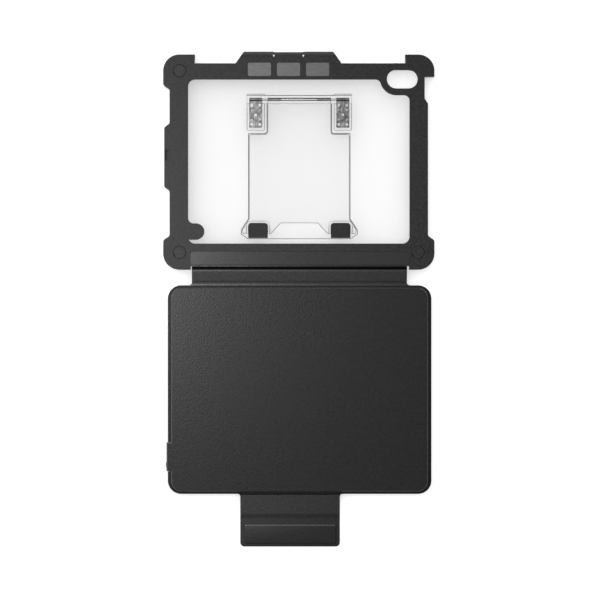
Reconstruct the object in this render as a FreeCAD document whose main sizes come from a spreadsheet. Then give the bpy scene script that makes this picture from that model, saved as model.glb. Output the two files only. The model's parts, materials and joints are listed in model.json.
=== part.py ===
import FreeCAD, Part
import math
import os
import re
import Sketcher

# A tablet keyboard case, lying open and flat with its outside up.
# X runs along the tablet's long side, +Y from the keyboard to the tablet shell and +Z up, off the table.
# The origin is in the middle of the whole case, on the table. All lengths are in millimetres.

SIZES = {
    # the tablet that the shell is made for, and the room round it
    "tablet_width": 248.6, "tablet_height": 179.5, "tablet_thickness": 7.0, "tablet_corner": 18.0,
    "bay_gap": 0.35, "bay_gap_deep": 0.2,
    # the shell: walls, lip, edges, and where the middle of the tablet is
    "shell_y": 137.9, "side_wall": 1.5, "top_wall": 2.3, "bottom_rail": 19.0, "shell_corner": 10.0,
    "lip_thickness": 1.4, "lip_overlap": 3.4, "soft_edge": 0.9, "soft_lip": 0.45,
    # how far a cut runs past the face that it opens
    "overrun": 1.0,
    # corner bumpers: how far they stand out and how far they run along each side
    "bumper_side": 6.25, "bumper_top": 8.6, "bumper_corner": 15.7, "bumper_slant": 4.2,
    "bumper_root": 9.0, "bumper_blend": 3.0, "bumper_taper": 1.0,
    "left_bumper_across": 30.9, "left_bumper_down": 29.9,
    "right_bumper_across": 28.6, "right_bumper_down": 21.6, "low_bumper_up": 28.8,
    # the swelling round the charging port
    "port_out": 5.25, "port_length": 58.1, "port_middle": 0.75, "port_slant": 4.0,
    "port_y": 2.75, "port_gap_y": 16.0, "port_gap_z": 6.2, "port_floor": 0.5, "opening_corner": 1.5,
    "notch_length": 10.7, "notch_width": 4.8, "notch_inset": 1.1, "notch_depth": 3.0,
    # openings for the power button, the volume buttons and the speakers
    "power_length": 21.4, "power_inset": 3.25, "power_slant": 6.5,
    "volume_in": 50.3, "volume_length": 34.0, "volume_height": 5.8,
    "speaker_y": 51.0, "speaker_length": 22.0, "speaker_height": 3.2,
    # the rear window inside the tablet's outline, the camera opening and the round tab low on the left
    "window_side": 16.45, "window_top": 13.5, "window_low": 6.3, "window_corner": 7.0,
    "camera_in": 23.3, "camera_down": 12.85, "camera_length": 30.0, "camera_height": 18.2,
    "camera_rim": 6.5, "camera_blend": 5.5,
    "tab_reach": 8.0, "tab_up": 11.9, "tab_radius": 7.8, "tab_blend": 5.5,
    # the clear panel
    "flange_reach": 3.0, "flange_thickness": 1.6, "flange_gap": 0.1, "panel_sink": 0.6,
    # round plugs, keeper plates
    "plug_radius": 6.4, "plug_gap": 0.4, "plug_thickness": 2.2,
    "plug_in": 9.75, "plug_from_top": 7.4, "plug_from_bottom": 16.9,
    "keeper_width": 22.8, "keeper_height": 13.2, "keeper_pitch": 28.4, "keeper_down": 6.0,
    "keeper_thickness": 0.7, "keeper_corner": 1.6, "keeper_gap": 0.15, "keeper_sink": 0.1,
    # the pen holder, a round tube along the top edge
    "pen_x": 10.0, "pen_out": 5.4, "pen_diameter": 8.9, "pen_gap": 0.25,
    "holder_base": 103.2, "holder_top": 85.6,
    "tongue_width": 28.8, "tongue_drop": 0.7, "relief_width": 2.6, "relief_height": 3.4, "relief_out": 2.0,
    # the mounting bar in the bottom rail, its screws and the skin that it clamps
    "bar_left": 20.45, "bar_right": 18.45, "bar_wall": 1.0, "bar_gap": 0.2, "bar_depth": 4.5,
    "bar_corner": 3.0, "bar_sink": 0.4, "bar_edge": 1.2, "spine_notch": 3.6,
    "clamp_depth": 8.0, "clamp_sink": 1.4, "skin_thickness": 0.8,
    "bar_screw_end": 14.7, "bar_screw_shank": 1.1, "bar_screw_head": 2.2, "bar_screw_bite": 2.3,
    "bar_head_recess": 0.3, "bar_head_seat": 0.4, "bar_driver_slot": 0.6,
    # the kickstand: a clear plate on a barrel
    "stand_x": 0.5, "stand_axis_down": 19.5, "stand_thickness": 2.2, "stand_gap": 0.5, "stand_gap_deep": 0.1,
    "stand_neck": 61.8, "stand_neck_length": 34.0, "stand_width": 97.9, "stand_flare": 14.2,
    "stand_flare_width": 112.0, "stand_ear": 3.4, "stand_end_up": 9.9, "stand_taper": 1.0,
    "stand_notch_low": 54.8, "stand_notch_high": 36.4, "stand_notch": 10.3, "stand_corner": 3.0,
    "stand_bevel": 0.4, "panel_bevel": 0.4,
    "barrel_radius": 1.7, "barrel_gap": 0.1, "barrel_sink": 0.1,
    "dimple_radius": 1.3, "dimple_pitch": 4.6, "dimple_depth": 0.3,
    "foot_width": 19.0, "foot_side": 8.65, "foot_up": 10.3, "foot_out": 4.3,
    "foot_corner": 3.0, "foot_stand": 0.4, "foot_groove": 1.9, "foot_step": 0.3, "foot_edge": 0.35,
    # the friction hinges
    "leaf_beside": 5.2, "leaf_width": 12.8, "leaf_length": 27.6, "leaf_thickness": 1.0, "leaf_corner": 0.8,
    "leaf_gap": 2.1, "pocket_up": 5.2, "pocket_down": 2.5, "pocket_floor": 1.6, "pocket_corner": 1.0,
    "slot_up": 3.9, "slot_down": 4.1, "slot_floor": 0.6,
    "shaft_radius": 1.1, "shaft_play": 0.05, "shaft_fit": 0.02, "shaft_bite": 13.5, "shaft_inset": 0.3,
    "screw_side": 2.45, "screw_end": 4.4, "screw_shift": 1.25, "screw_head": 1.35,
    "screw_head_height": 0.6, "screw_shank": 0.75, "screw_bite": 1.1, "leaf_hole": 0.6,
    "driver_slot": 0.4, "driver_depth": 0.3, "driver_share": 0.7,
    # the spine, a strip on two fold lines inside the bar's ends, and how far apart the closed halves are
    "spine_left": 1.2, "spine_right": 2.0, "spine_thickness": 1.8, "fold_gap": 1.0, "closed_gap": 0.6,
    "spine_fold_in": 2.1, "board_inset": 1.6, "board_thickness": 0.7,
    # the keyboard folio: flexible sheet, hard back cover and deck
    "folio_x": 0.8, "folio_width": 257.8, "folio_length": 206.0, "folio_corner": 13.0,
    "cover_inset": 3.2, "cover_top_inset": 3.2, "cover_thickness": 1.0, "cover_corner": 10.0,
    "cover_bevel": 0.9,
    "deck_inset": 1.2, "deck_edge": 2.2, "deck_wall": 1.6, "deck_skin": 1.2, "deck_corner": 12.0,
    "deck_bevel": 0.4,
    "side_box_out": 1.3, "side_box_up": 37.3, "side_box_length": 28.1, "side_box_deep": 4.4,
    "side_box_low": 0.6, "side_box_gap": 0.3,
    # keys
    "key_margin": 6.375, "key_gap": 2.0, "key_slack": 0.35, "key_split": 0.5, "key_corner": 1.4,
    "key_top": 0.6, "key_thickness": 1.8, "key_travel": 1.2, "key_room": 0.2,
    "well_depth": 2.0, "well_margin": 2.0, "well_corner": 2.5,
    "function_y": 16.0, "function_pitch": 10.0, "row_start": 27.0,
    "membrane_thickness": 0.3, "plate_thickness": 0.5, "plate_margin": 3.0, "plate_top": 0.8,
    # trackpad, its bracket and switch
    "pad_width": 110.0, "pad_height": 64.0, "pad_up": 21.0, "pad_down": 9.0, "pad_thickness": 1.0,
    "pad_slack": 0.35, "pad_corner": 3.0, "pad_top": 0.3, "pad_travel": 0.3, "tray_gap": 1.0,
    "bracket_reach": 4.0, "bracket_thickness": 0.6, "bracket_floor": 3.0, "bracket_room": 0.6,
    "switch_side": 6.0,
    # electronics in the palm rest
    "palm_gap": 2.0, "battery_gap": 6.0, "battery_side": 15.1, "battery_up": 20.0, "battery_length": 60.0,
    "battery_height": 3.2, "battery_corner": 2.0, "board_gap": 21.0, "board_side": 0.1,
    "board_up": 17.0, "board_length": 48.0, "circuit_thickness": 0.8,
    "magnet_in": 9.9, "magnet_up": 10.0, "magnet_side": 8.0, "magnet_thickness": 1.5,
    "socket_shift": 6.7, "socket_width": 8.9, "socket_height": 2.9, "socket_depth": 7.4,
    "socket_wall": 0.3, "socket_gap": 0.1, "socket_sink": 0.3, "socket_back": 1.0,
    "tongue_sink": 0.9, "tongue_height": 0.7, "tongue_span": 6.675,
    "slider_shift": 6.8, "slider_length": 4.0, "slider_height": 1.8, "slider_travel": 2.0,
    "slider_gap": 0.25, "slider_out": 0.8, "slider_in": 2.0, "grip_width": 0.4, "grip_depth": 0.3,
    "light_radius": 0.7, "light_pitch": 6.0, "light_in": 32.9, "light_y": 11.5, "light_sink": 0.1,
    "deck_screw_in": 10.3, "deck_screw_head": 1.3, "deck_screw_head_height": 0.4,
    "deck_screw_shank": 0.6, "deck_screw_down": 4.0, "deck_screw_up": 8.6,
    # the closing flap: two strap lengths and a tip with three magnets
    "flap_x": 8.55, "flap_side": 10.35, "strap_thickness": 1.6, "strap_long": 14.34, "strap_short": 8.95,
    "tip_fold_z": 0.9, "tip_length": 27.9, "tip_base": 0.8, "tip_skin": 0.8, "tip_height": 2.9,
    "tip_corner": 4.0, "tip_bevel": 0.5, "pocket_start": 6.5, "pocket_end": 25.0, "pocket_inset": 4.0,
    "tip_pocket_corner": 2.0,
    "flap_magnet_width": 20.0, "flap_magnet_height": 11.0, "flap_magnet_thickness": 1.2,
}

KEYS_WIDE = 14.5
KEY_ROWS = 5
DIMPLES = 8
ALIAS = re.compile(r"\b(" + "|".join(SIZES) + r")\b")
DOC = FreeCAD.newDocument("tablet_keyboard_case")
PIECES = []

# the shell's outline and levels, as expressions of the sizes
BAY_HALF_X = "(tablet_width / 2 + bay_gap)"
BAY_HALF_Y = "(tablet_height / 2 + bay_gap)"
BAY_TOP_Z = "(lip_thickness + tablet_thickness + bay_gap_deep)"
REAR_Z = f"({BAY_TOP_Z} + slot_floor + barrel_gap + 2 * barrel_radius + barrel_sink)"
FLANGE_Z = f"({BAY_TOP_Z} + flange_thickness)"
PANEL_Z = f"({REAR_Z} - panel_sink)"
SHELL_X = f"({BAY_HALF_X} + side_wall)"
SHELL_TOP = f"({BAY_HALF_Y} + top_wall)"
SHELL_BOTTOM = f"({BAY_HALF_Y} + bottom_rail)"
BUMPER_X = f"({SHELL_X} + bumper_side)"
BUMPER_TOP = f"({SHELL_TOP} + bumper_top)"
POWER_TOP = f"({BUMPER_TOP} - right_bumper_down)"
POWER_BOTTOM = f"({POWER_TOP} - power_length)"
WINDOW_X = f"({BAY_HALF_X} - window_side)"
WINDOW_TOP = f"({BAY_HALF_Y} - window_top)"
WINDOW_BOTTOM = f"({BAY_HALF_Y} - window_low)"
CAMERA_X = "(tablet_width / 2 - camera_in)"
CAMERA_Y = "(tablet_height / 2 - camera_down)"
CAMERA_NEAR_X = f"({CAMERA_X} - (camera_length - camera_height) / 2)"
TAB_X = f"({WINDOW_X} - tab_reach)"
TAB_Y = f"({WINDOW_BOTTOM} - tab_up)"
PLUG_X = f"({SHELL_X} - plug_in)"
KEEPER_Y = f"({SHELL_TOP} - keeper_down)"
TUBE_RADIUS = f"({REAR_Z} / 2)"
PEN_Y = f"({SHELL_TOP} + pen_out)"
KEEPER_SEAT_Z = f"({REAR_Z} - keeper_thickness - keeper_sink)"
HOLDER_X0 = "(-pen_x - holder_base / 2)"
HOLDER_X1 = "(-pen_x + holder_base / 2)"
HOLDER_Y = f"({PEN_Y} - {TUBE_RADIUS})"
BAR_X0 = f"(bar_left - {SHELL_X})"
BAR_X1 = f"({SHELL_X} - bar_right)"
BAR_Y = f"({SHELL_BOTTOM} - spine_notch - bar_gap)"
BAR_HEIGHT = "(bottom_rail - spine_notch - bar_wall - 2 * bar_gap)"
BAR_BOTTOM_Z = f"({REAR_Z} - bar_depth)"
BAR_TOP_Z = f"({REAR_Z} - bar_sink)"
CLAMP_Z = f"({REAR_Z} - clamp_sink)"

# the kickstand and its hinges
STAND_AXIS_Y = f"({WINDOW_TOP} - stand_axis_down)"
STAND_AXIS_Z = f"({REAR_Z} - barrel_sink - barrel_radius)"
STAND_LOW_Z = f"({STAND_AXIS_Z} - stand_thickness / 2)"
STAND_TOP_Z = f"({STAND_AXIS_Z} + stand_thickness / 2)"
STAND_STEP_Y = f"({STAND_AXIS_Y} - stand_neck_length)"
STAND_END_Y = f"({WINDOW_BOTTOM} - stand_end_up)"
STAND_EAR_Y = f"({STAND_END_Y} - stand_ear)"
STAND_FLARE_Y = f"({STAND_END_Y} - stand_flare)"
STAND_NOTCH_Y = f"({STAND_END_Y} - stand_notch)"
FOOT_X = "(stand_width / 2 - foot_side)"
FOOT_TOP_Y = f"({STAND_END_Y} - foot_up)"
FOOT_END_Y = f"({STAND_END_Y} + foot_out)"
RECESS_Z = f"({STAND_LOW_Z} - stand_gap_deep)"
SLOT_Z = f"({BAY_TOP_Z} + slot_floor)"
POCKET_Z = f"({BAY_TOP_Z} + pocket_floor)"
LEAF_Z = f"({POCKET_Z} + leaf_thickness)"
LEAF_CENTRE = "(stand_neck / 2 + leaf_beside + leaf_width / 2)"
LEAF_END_Y = f"({STAND_AXIS_Y} - leaf_length)"
LEAF_MIDDLE_Y = f"({STAND_AXIS_Y} - leaf_length / 2 - screw_shift)"
POCKET_HALF = "(leaf_width / 2 + leaf_gap)"
SCREW_X = "(leaf_width / 2 - screw_side)"
SCREW_Y = "(leaf_length / 2 - screw_end)"
SHAFT_END = "(stand_neck / 2 - shaft_bite)"

# the levels in the keyboard, from its keys back to its sheet
WEB_Z = "(key_top + key_thickness + key_travel + key_room)"
MEMBRANE_Z = f"({WEB_Z} + membrane_thickness)"
PLATE_Z = f"({MEMBRANE_Z} + plate_thickness)"
SHEET_LOW_Z = f"({PLATE_Z} + deck_screw_head_height)"
SHEET_TOP_Z = f"({SHEET_LOW_Z} + skin_thickness)"
FOLIO_FOLD_Z = f"({SHEET_LOW_Z} + skin_thickness / 2)"
COVER_Z = f"({SHEET_TOP_Z} + cover_thickness)"
PAD_ROOM_Z = "(pad_top + pad_thickness + pad_travel + bracket_room)"
SOCKET_Z = f"({SHEET_LOW_Z} - circuit_thickness - socket_height / 2)"

# places on the keyboard: its keys, trackpad, side box and inner walls
KEY_UNIT = f"((folio_width - 2 * key_margin) / {KEYS_WIDE})"
ROWS_END = "(folio_length - pad_up - pad_height - pad_down)"
ROW_PITCH = f"(({ROWS_END} - row_start) / {KEY_ROWS})"
PAD_Y = "(folio_length - pad_up - pad_height / 2)"
PAD_SIDE = "(pad_width / 2 + bracket_reach)"
DECK_HALF = "(folio_width / 2 - deck_inset)"
DECK_INNER = f"({DECK_HALF} - deck_wall)"
SIDE_FACE = "(-folio_width / 2 - side_box_out)"
SIDE_BOX_Y = "(folio_length - side_box_up)"
SOCKET_Y = f"({SIDE_BOX_Y} - socket_shift)"
SLIDER_Y = f"({SIDE_BOX_Y} + slider_shift)"
DECK_SCREW_X = "(folio_width / 2 - deck_screw_in)"

# the fold lines
SPINE_X0 = f"({BAR_X0} + spine_left)"
SPINE_X1 = f"({BAR_X1} - spine_right)"
SPINE_X = f"(({SPINE_X0} + {SPINE_X1}) / 2)"
SPINE_FOLD = f"({SHELL_BOTTOM} - spine_fold_in)"
SPINE_LENGTH = f"({CLAMP_Z} + {FOLIO_FOLD_Z} + closed_gap)"
SPINE_DROP = f"({CLAMP_Z} - {FOLIO_FOLD_Z})"
SPINE_FOLD_Y = f"(shell_y - {SPINE_FOLD})"
FOLIO_Y = f"({SPINE_FOLD_Y} - sqrt({SPINE_LENGTH} ^ 2 - {SPINE_DROP} ^ 2))"
FLAP_HALF = "(keeper_pitch + flap_magnet_width / 2 + flap_side)"
STRAP = "(strap_long + strap_short)"
STRAP_DROP = f"({FOLIO_FOLD_Z} - tip_fold_z)"
STRAP_REACH = f"sqrt({STRAP} ^ 2 - {STRAP_DROP} ^ 2)"
STRAP_Y = f"({FOLIO_Y} - folio_length)"
TIP_Y = f"({STRAP_Y} - {STRAP_REACH})"
BEND_Y = f"({STRAP_Y} - {STRAP_REACH} * strap_long / {STRAP})"
BEND_Z = f"({FOLIO_FOLD_Z} - {STRAP_DROP} * strap_long / {STRAP})"

# where each group of pieces has its own zero: the tablet's middle, the folio's fold, the flap's folds
SHELL_PLACE = {"y": "shell_y"}
SPINE_PLACE = {"x": SPINE_X, "y": SPINE_FOLD_Y, "z": CLAMP_Z,
               "tilt": f"asin({SPINE_DROP} / {SPINE_LENGTH})"}
FOLIO_PLACE = {"x": "folio_x", "y": FOLIO_Y}
STRAP_TILT = f"asin({STRAP_DROP} / {STRAP})"
STRAP_PLACE = {"x": "-flap_x", "y": STRAP_Y, "z": FOLIO_FOLD_Z, "tilt": STRAP_TILT}
BEND_PLACE = {"x": "-flap_x", "y": BEND_Y, "z": BEND_Z, "tilt": STRAP_TILT}
TIP_PLACE = {"x": "-flap_x", "y": TIP_Y}


def bound(text):
    """An expression in which every size is read from the sheet."""
    return ALIAS.sub(r"sizes.\1", str(text))


def make_sheet():
    """Write the driving sizes into a spreadsheet, one alias a row."""
    sheet = DOC.addObject("Spreadsheet::Sheet", "sizes")
    for row, (alias, value) in enumerate(SIZES.items(), start=1):
        sheet.set(f"A{row}", alias)
        sheet.set(f"B{row}", str(value))
        sheet.setAlias(f"B{row}", alias)
    DOC.recompute()
    return sheet


SHEET = make_sheet()


def number(text):
    """What an expression comes to with the present sizes."""
    found = SHEET.evalExpression(bound(text))
    return float(getattr(found, "Value", found))


def rect(x0, x1, y0, y1, radius=None):
    """A rectangle between four sides, with round corners where it has a radius."""
    return ("rect", x0, x1, y0, y1, radius)


def block(x, y, width, height, radius=None):
    """A rectangle about its middle."""
    return rect(f"{x} - {width} / 2", f"{x} + {width} / 2", f"{y} - {height} / 2",
                f"{y} + {height} / 2", radius)


def circle(x, y, radius):
    """A full circle."""
    return ("circle", x, y, radius)


def pill(x, y, length, height):
    """A slot along the sketch's X with round ends."""
    return ("pill", x, y, length, height)


def polygon(*points):
    """Straight lines through points, each an (x, y) pair."""
    return ("polygon", points)


def mirrored(points, x="0"):
    """Points of one half of an outline, followed by the same points on the other side of x."""
    right = [(f"{x} + ({px})", py) for px, py in points]
    left = [(f"{x} - ({px})", py) for px, py in reversed(points)]
    return polygon(*right, *left)


class Drawing:
    """A sketch on one origin plane of a body, with every size bound to the sheet."""

    def __init__(self, body, plane, offset):
        self.sketch = body.newObject("Sketcher::SketchObject", body.Label + "_sketch")
        support = next(f for f in body.Origin.OriginFeatures if f.Role == plane)
        self.sketch.AttachmentSupport = (support, [""])
        self.sketch.MapMode = "FlatFace"
        self.sketch.setExpression("AttachmentOffset.Base.z", bound(offset))

    def rule(self, kind, *terms, value=None):
        """Add one constraint, tied to an expression where it has a value."""
        if value is None:
            self.sketch.addConstraint(Sketcher.Constraint(kind, *terms))
            return
        index = self.sketch.addConstraint(Sketcher.Constraint(kind, *terms, number(value)))
        self.sketch.setExpression(f"Constraints[{index}]", bound(value))

    def line(self, start, end):
        """Add a straight line between two points given as numbers."""
        ends = FreeCAD.Vector(*start, 0), FreeCAD.Vector(*end, 0)
        return self.sketch.addGeometry(Part.LineSegment(*ends), False)

    def arc(self, middle, radius, first, last):
        """Add an arc, anticlockwise between two angles in degrees."""
        ring = Part.Circle(FreeCAD.Vector(*middle, 0), FreeCAD.Vector(0, 0, 1), radius)
        arc = Part.ArcOfCircle(ring, math.radians(first), math.radians(last))
        return self.sketch.addGeometry(arc, False)

    def polygon(self, points):
        """Draw lines through points, each held at its own place."""
        at = [(number(x), number(y)) for x, y in points]
        lines = [self.line(at[i - 1], at[i]) for i in range(len(at))]
        for i, line in enumerate(lines):
            self.rule("Coincident", line, 2, lines[(i + 1) % len(lines)], 1)
            self.rule("DistanceX", -1, 1, line, 2, value=points[i][0])
            self.rule("DistanceY", -1, 1, line, 2, value=points[i][1])

    def circle(self, x, y, radius):
        """Draw a circle."""
        middle = FreeCAD.Vector(number(x), number(y), 0)
        ring = Part.Circle(middle, FreeCAD.Vector(0, 0, 1), number(radius))
        ring = self.sketch.addGeometry(ring, False)
        self.rule("DistanceX", -1, 1, ring, 3, value=x)
        self.rule("DistanceY", -1, 1, ring, 3, value=y)
        self.rule("Radius", ring, value=radius)

    def pill(self, x, y, length, height):
        """Draw a slot with two half circles for ends."""
        mid_x, mid_y, end = number(x), number(y), number(f"{height} / 2")
        half = number(f"({length} - {height}) / 2")
        right = self.arc((mid_x + half, mid_y), end, -90, 90)
        top = self.line((mid_x + half, mid_y + end), (mid_x - half, mid_y + end))
        left = self.arc((mid_x - half, mid_y), end, 90, 270)
        bottom = self.line((mid_x - half, mid_y - end), (mid_x + half, mid_y - end))
        for first, then in ((right, top), (top, left), (left, bottom), (bottom, right)):
            self.rule("Tangent", first, 2, then, 1)
        self.rule("Horizontal", top)
        self.rule("Radius", right, value=f"{height} / 2")
        self.rule("DistanceX", -1, 1, right, 3, value=f"{x} + ({length} - {height}) / 2")
        self.rule("DistanceX", -1, 1, left, 3, value=f"{x} - ({length} - {height}) / 2")
        self.rule("DistanceY", -1, 1, right, 3, value=y)

    def rect(self, x0, x1, y0, y1, radius):
        """Draw a rectangle, with four tangent arcs for corners where it has a radius."""
        if radius is None:
            self.polygon([(x0, y0), (x1, y0), (x1, y1), (x0, y1)])
            return
        left, right, low, high, r = (number(v) for v in (x0, x1, y0, y1, radius))
        loop = [
            self.line((left + r, low), (right - r, low)),
            self.arc((right - r, low + r), r, 270, 360),
            self.line((right, low + r), (right, high - r)),
            self.arc((right - r, high - r), r, 0, 90),
            self.line((right - r, high), (left + r, high)),
            self.arc((left + r, high - r), r, 90, 180),
            self.line((left, high - r), (left, low + r)),
            self.arc((left + r, low + r), r, 180, 270),
        ]
        for i, piece in enumerate(loop):
            self.rule("Tangent", piece, 2, loop[(i + 1) % 8], 1)
        bottom, side, top, other = loop[0::2]
        for corner in loop[3::2]:
            self.rule("Equal", loop[1], corner)
        self.rule("Horizontal", bottom)
        self.rule("Vertical", side)
        self.rule("Horizontal", top)
        self.rule("Vertical", other)
        self.rule("Radius", loop[1], value=radius)
        self.rule("DistanceX", -1, 1, other, 1, value=x0)
        self.rule("DistanceX", -1, 1, side, 1, value=x1)
        self.rule("DistanceY", -1, 1, bottom, 1, value=y0)
        self.rule("DistanceY", -1, 1, top, 1, value=y1)


def set_place(piece, x="0", y="0", z="0", tilt=None):
    """Bind where an object stands, and its tilt about X in degrees."""
    if tilt is not None:
        turn = FreeCAD.Rotation(FreeCAD.Vector(1, 0, 0), number(tilt))
        piece.Placement = FreeCAD.Placement(FreeCAD.Vector(), turn)
        piece.setExpression("Placement.Rotation.Angle", bound(tilt))
    for axis, value in (("x", x), ("y", y), ("z", z)):
        piece.setExpression(f"Placement.Base.{axis}", bound(value))


class Piece:
    """One piece of the case: a body built from pads and pockets."""

    def __init__(self, label, place):
        self.body = DOC.addObject("PartDesign::Body", label)
        self.body.Label = label
        self.body.AllowCompound = True
        set_place(self.body, **place)
        PIECES.append(self.body)

    def feature(self, kind, outlines, start, end, plane, from_end):
        """Make a pad or pocket between two levels, and see that it changed the solid."""
        before = self.body.Shape.Volume if self.body.Tip else 0.0
        level = end if from_end else start
        offset = f"-({level})" if plane == "XZ_Plane" else level
        drawing = Drawing(self.body, plane, offset)
        for name, *values in outlines:
            getattr(drawing, name)(*values)
        made = self.body.newObject(f"PartDesign::{kind}", f"{self.body.Label}_{kind.lower()}")
        made.Profile = drawing.sketch
        made.Type = "Length"
        made.setExpression("Length", bound(f"({end}) - ({start})"))
        DOC.recompute()
        if abs(self.body.Shape.Volume - before) < 1e-6:
            raise RuntimeError(f"{made.Name} changed nothing")
        return self

    def pad(self, outlines, start, end, plane="XY_Plane"):
        """Add material between two levels of a plane."""
        return self.feature("Pad", outlines, start, end, plane, plane == "XZ_Plane")

    def cut(self, outlines, start, end, plane="XY_Plane"):
        """Take material away between two levels of a plane."""
        return self.feature("Pocket", outlines, start, end, plane, plane != "XZ_Plane")

    def edges(self, wanted):
        """Names of the edges that pass a test."""
        edges = self.body.Tip.Shape.Edges
        return [f"Edge{i}" for i, edge in enumerate(edges, start=1) if wanted(edge)]

    def finish(self, kind, sizing, value, names):
        """Fillet or chamfer the named edges."""
        made = self.body.newObject(f"PartDesign::{kind}", f"{self.body.Label}_{kind.lower()}")
        made.Base = (self.body.Tip if self.body.Tip != made else made.BaseFeature, names)
        made.setExpression(sizing, bound(value))
        DOC.recompute()
        if not names or made.Shape.isNull() or not made.Shape.isValid():
            raise RuntimeError(f"{made.Name} failed")
        return self

    def fillet(self, radius, wanted):
        """Round the edges that pass a test."""
        return self.finish("Fillet", "Radius", radius, self.edges(wanted))

    def chamfer(self, size, wanted):
        """Bevel the edges that pass a test."""
        return self.finish("Chamfer", "Size", size, self.edges(wanted))


def upright(*spots):
    """A test for edges along Z, at the given places or anywhere."""
    at = [(number(x), number(y)) for x, y in spots]

    def test(edge):
        a, b = edge.firstVertex().Point, edge.lastVertex().Point
        if math.hypot(a.x - b.x, a.y - b.y) > 1e-4 or abs(a.z - b.z) < 1e-4:
            return False
        return not at or any(math.hypot(a.x - x, a.y - y) < 0.05 for x, y in at)

    return test


def level_with(z, inside=None):
    """A test for edges that lie at one height, in a box of (x0, x1, y0, y1) where one is given."""
    height = number(z)
    box = [number(v) for v in inside] if inside else None

    def test(edge):
        limits = edge.BoundBox
        if abs(limits.ZMin - height) > 1e-3 or abs(limits.ZMax - height) > 1e-3:
            return False
        middle = limits.Center
        return box is None or (box[0] < middle.x < box[1] and box[2] < middle.y < box[3])

    return test


def plain(label, place, outline, start, end):
    """A piece that is a single pad."""
    return Piece(label, place).pad([outline], start, end)


def top_bumper(side, across, down):
    """The L-shaped outline of an upper corner bumper, on side 1 or -1."""
    points = [
        (f"{BUMPER_X} - {across}", BUMPER_TOP),
        (BUMPER_X, BUMPER_TOP),
        (BUMPER_X, f"{BUMPER_TOP} - {down}"),
        (SHELL_X, f"{BUMPER_TOP} - {down} - bumper_slant"),
        (f"{SHELL_X} - bumper_root", f"{BUMPER_TOP} - {down} - bumper_slant"),
        (f"{SHELL_X} - bumper_root", f"{SHELL_TOP} - bumper_root"),
        (f"{BUMPER_X} - {across} + bumper_taper", f"{SHELL_TOP} - bumper_root"),
    ]
    return polygon(*[(f"{side} * ({x})", y) for x, y in points])


def low_bumper(side):
    """The outline of a lower corner bumper, flush with the bottom edge."""
    top = f"(low_bumper_up - {SHELL_BOTTOM})"
    points = [
        (f"{SHELL_X} - 2 * bumper_root", f"-{SHELL_BOTTOM}"),
        (BUMPER_X, f"-{SHELL_BOTTOM}"),
        (BUMPER_X, top),
        (SHELL_X, f"{top} + bumper_slant"),
        (f"{SHELL_X} - bumper_root", f"{top} + bumper_slant"),
        (f"{SHELL_X} - 2 * bumper_root", top),
    ]
    return polygon(*[(f"{side} * ({x})", y) for x, y in points])


def port_swelling():
    """The outline of the swelling on the left side."""
    half = "port_length / 2"
    return polygon(
        (f"-{SHELL_X} + overrun", f"port_middle + {half} + port_slant"),
        (f"-{SHELL_X}", f"port_middle + {half} + port_slant"),
        (f"-{SHELL_X} - port_out", f"port_middle + {half}"),
        (f"-{SHELL_X} - port_out", f"port_middle - {half}"),
        (f"-{SHELL_X}", f"port_middle - {half} - port_slant"),
        (f"-{SHELL_X} + overrun", f"port_middle - {half} - port_slant"),
    )


def window(reach):
    """The rear window, or the flange that reaches past it."""
    side = f"({WINDOW_X} + {reach})"
    return rect(f"-{side}", side, f"-{WINDOW_BOTTOM} - {reach}", f"{WINDOW_TOP} + {reach}",
                f"window_corner + {reach}")


def camera_island(rim):
    """What is left round the camera opening: a disc and the corner behind it."""
    radius = f"(camera_height / 2 + {rim})"
    corner = rect(CAMERA_NEAR_X, f"{WINDOW_X} + flange_reach + overrun", f"{CAMERA_Y} - {radius}",
                  f"{WINDOW_TOP} + flange_reach + overrun")
    return circle(CAMERA_NEAR_X, CAMERA_Y, radius), corner


def round_tab():
    """The round tab that reaches into the window from the low left."""
    bar = rect(f"-{WINDOW_X} - overrun", f"-{TAB_X}", f"-{TAB_Y} - tab_radius", f"-{TAB_Y} + tab_radius")
    return circle(f"-{TAB_X}", f"-{TAB_Y}", "tab_radius"), bar


def blend_window(piece):
    """Round the corners where the camera island and the tab run into the window's edge."""
    radius = "(camera_height / 2 + camera_rim)"
    meet = f"{CAMERA_NEAR_X} - sqrt({radius} ^ 2 - ({WINDOW_TOP} - {CAMERA_Y}) ^ 2)"
    piece.fillet("camera_blend", upright((meet, WINDOW_TOP), (WINDOW_X, f"{CAMERA_Y} - {radius}")))
    piece.fillet("tab_blend", upright((f"-{WINDOW_X}", f"tab_radius - {TAB_Y}")))


def holder_profile():
    """The pen tube's outline seen along X, joined to the shell's top wall."""
    return [rect(f"{SHELL_TOP} - holder_root", PEN_Y, "0", REAR_Z), circle(PEN_Y, TUBE_RADIUS, TUBE_RADIUS)]


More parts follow.
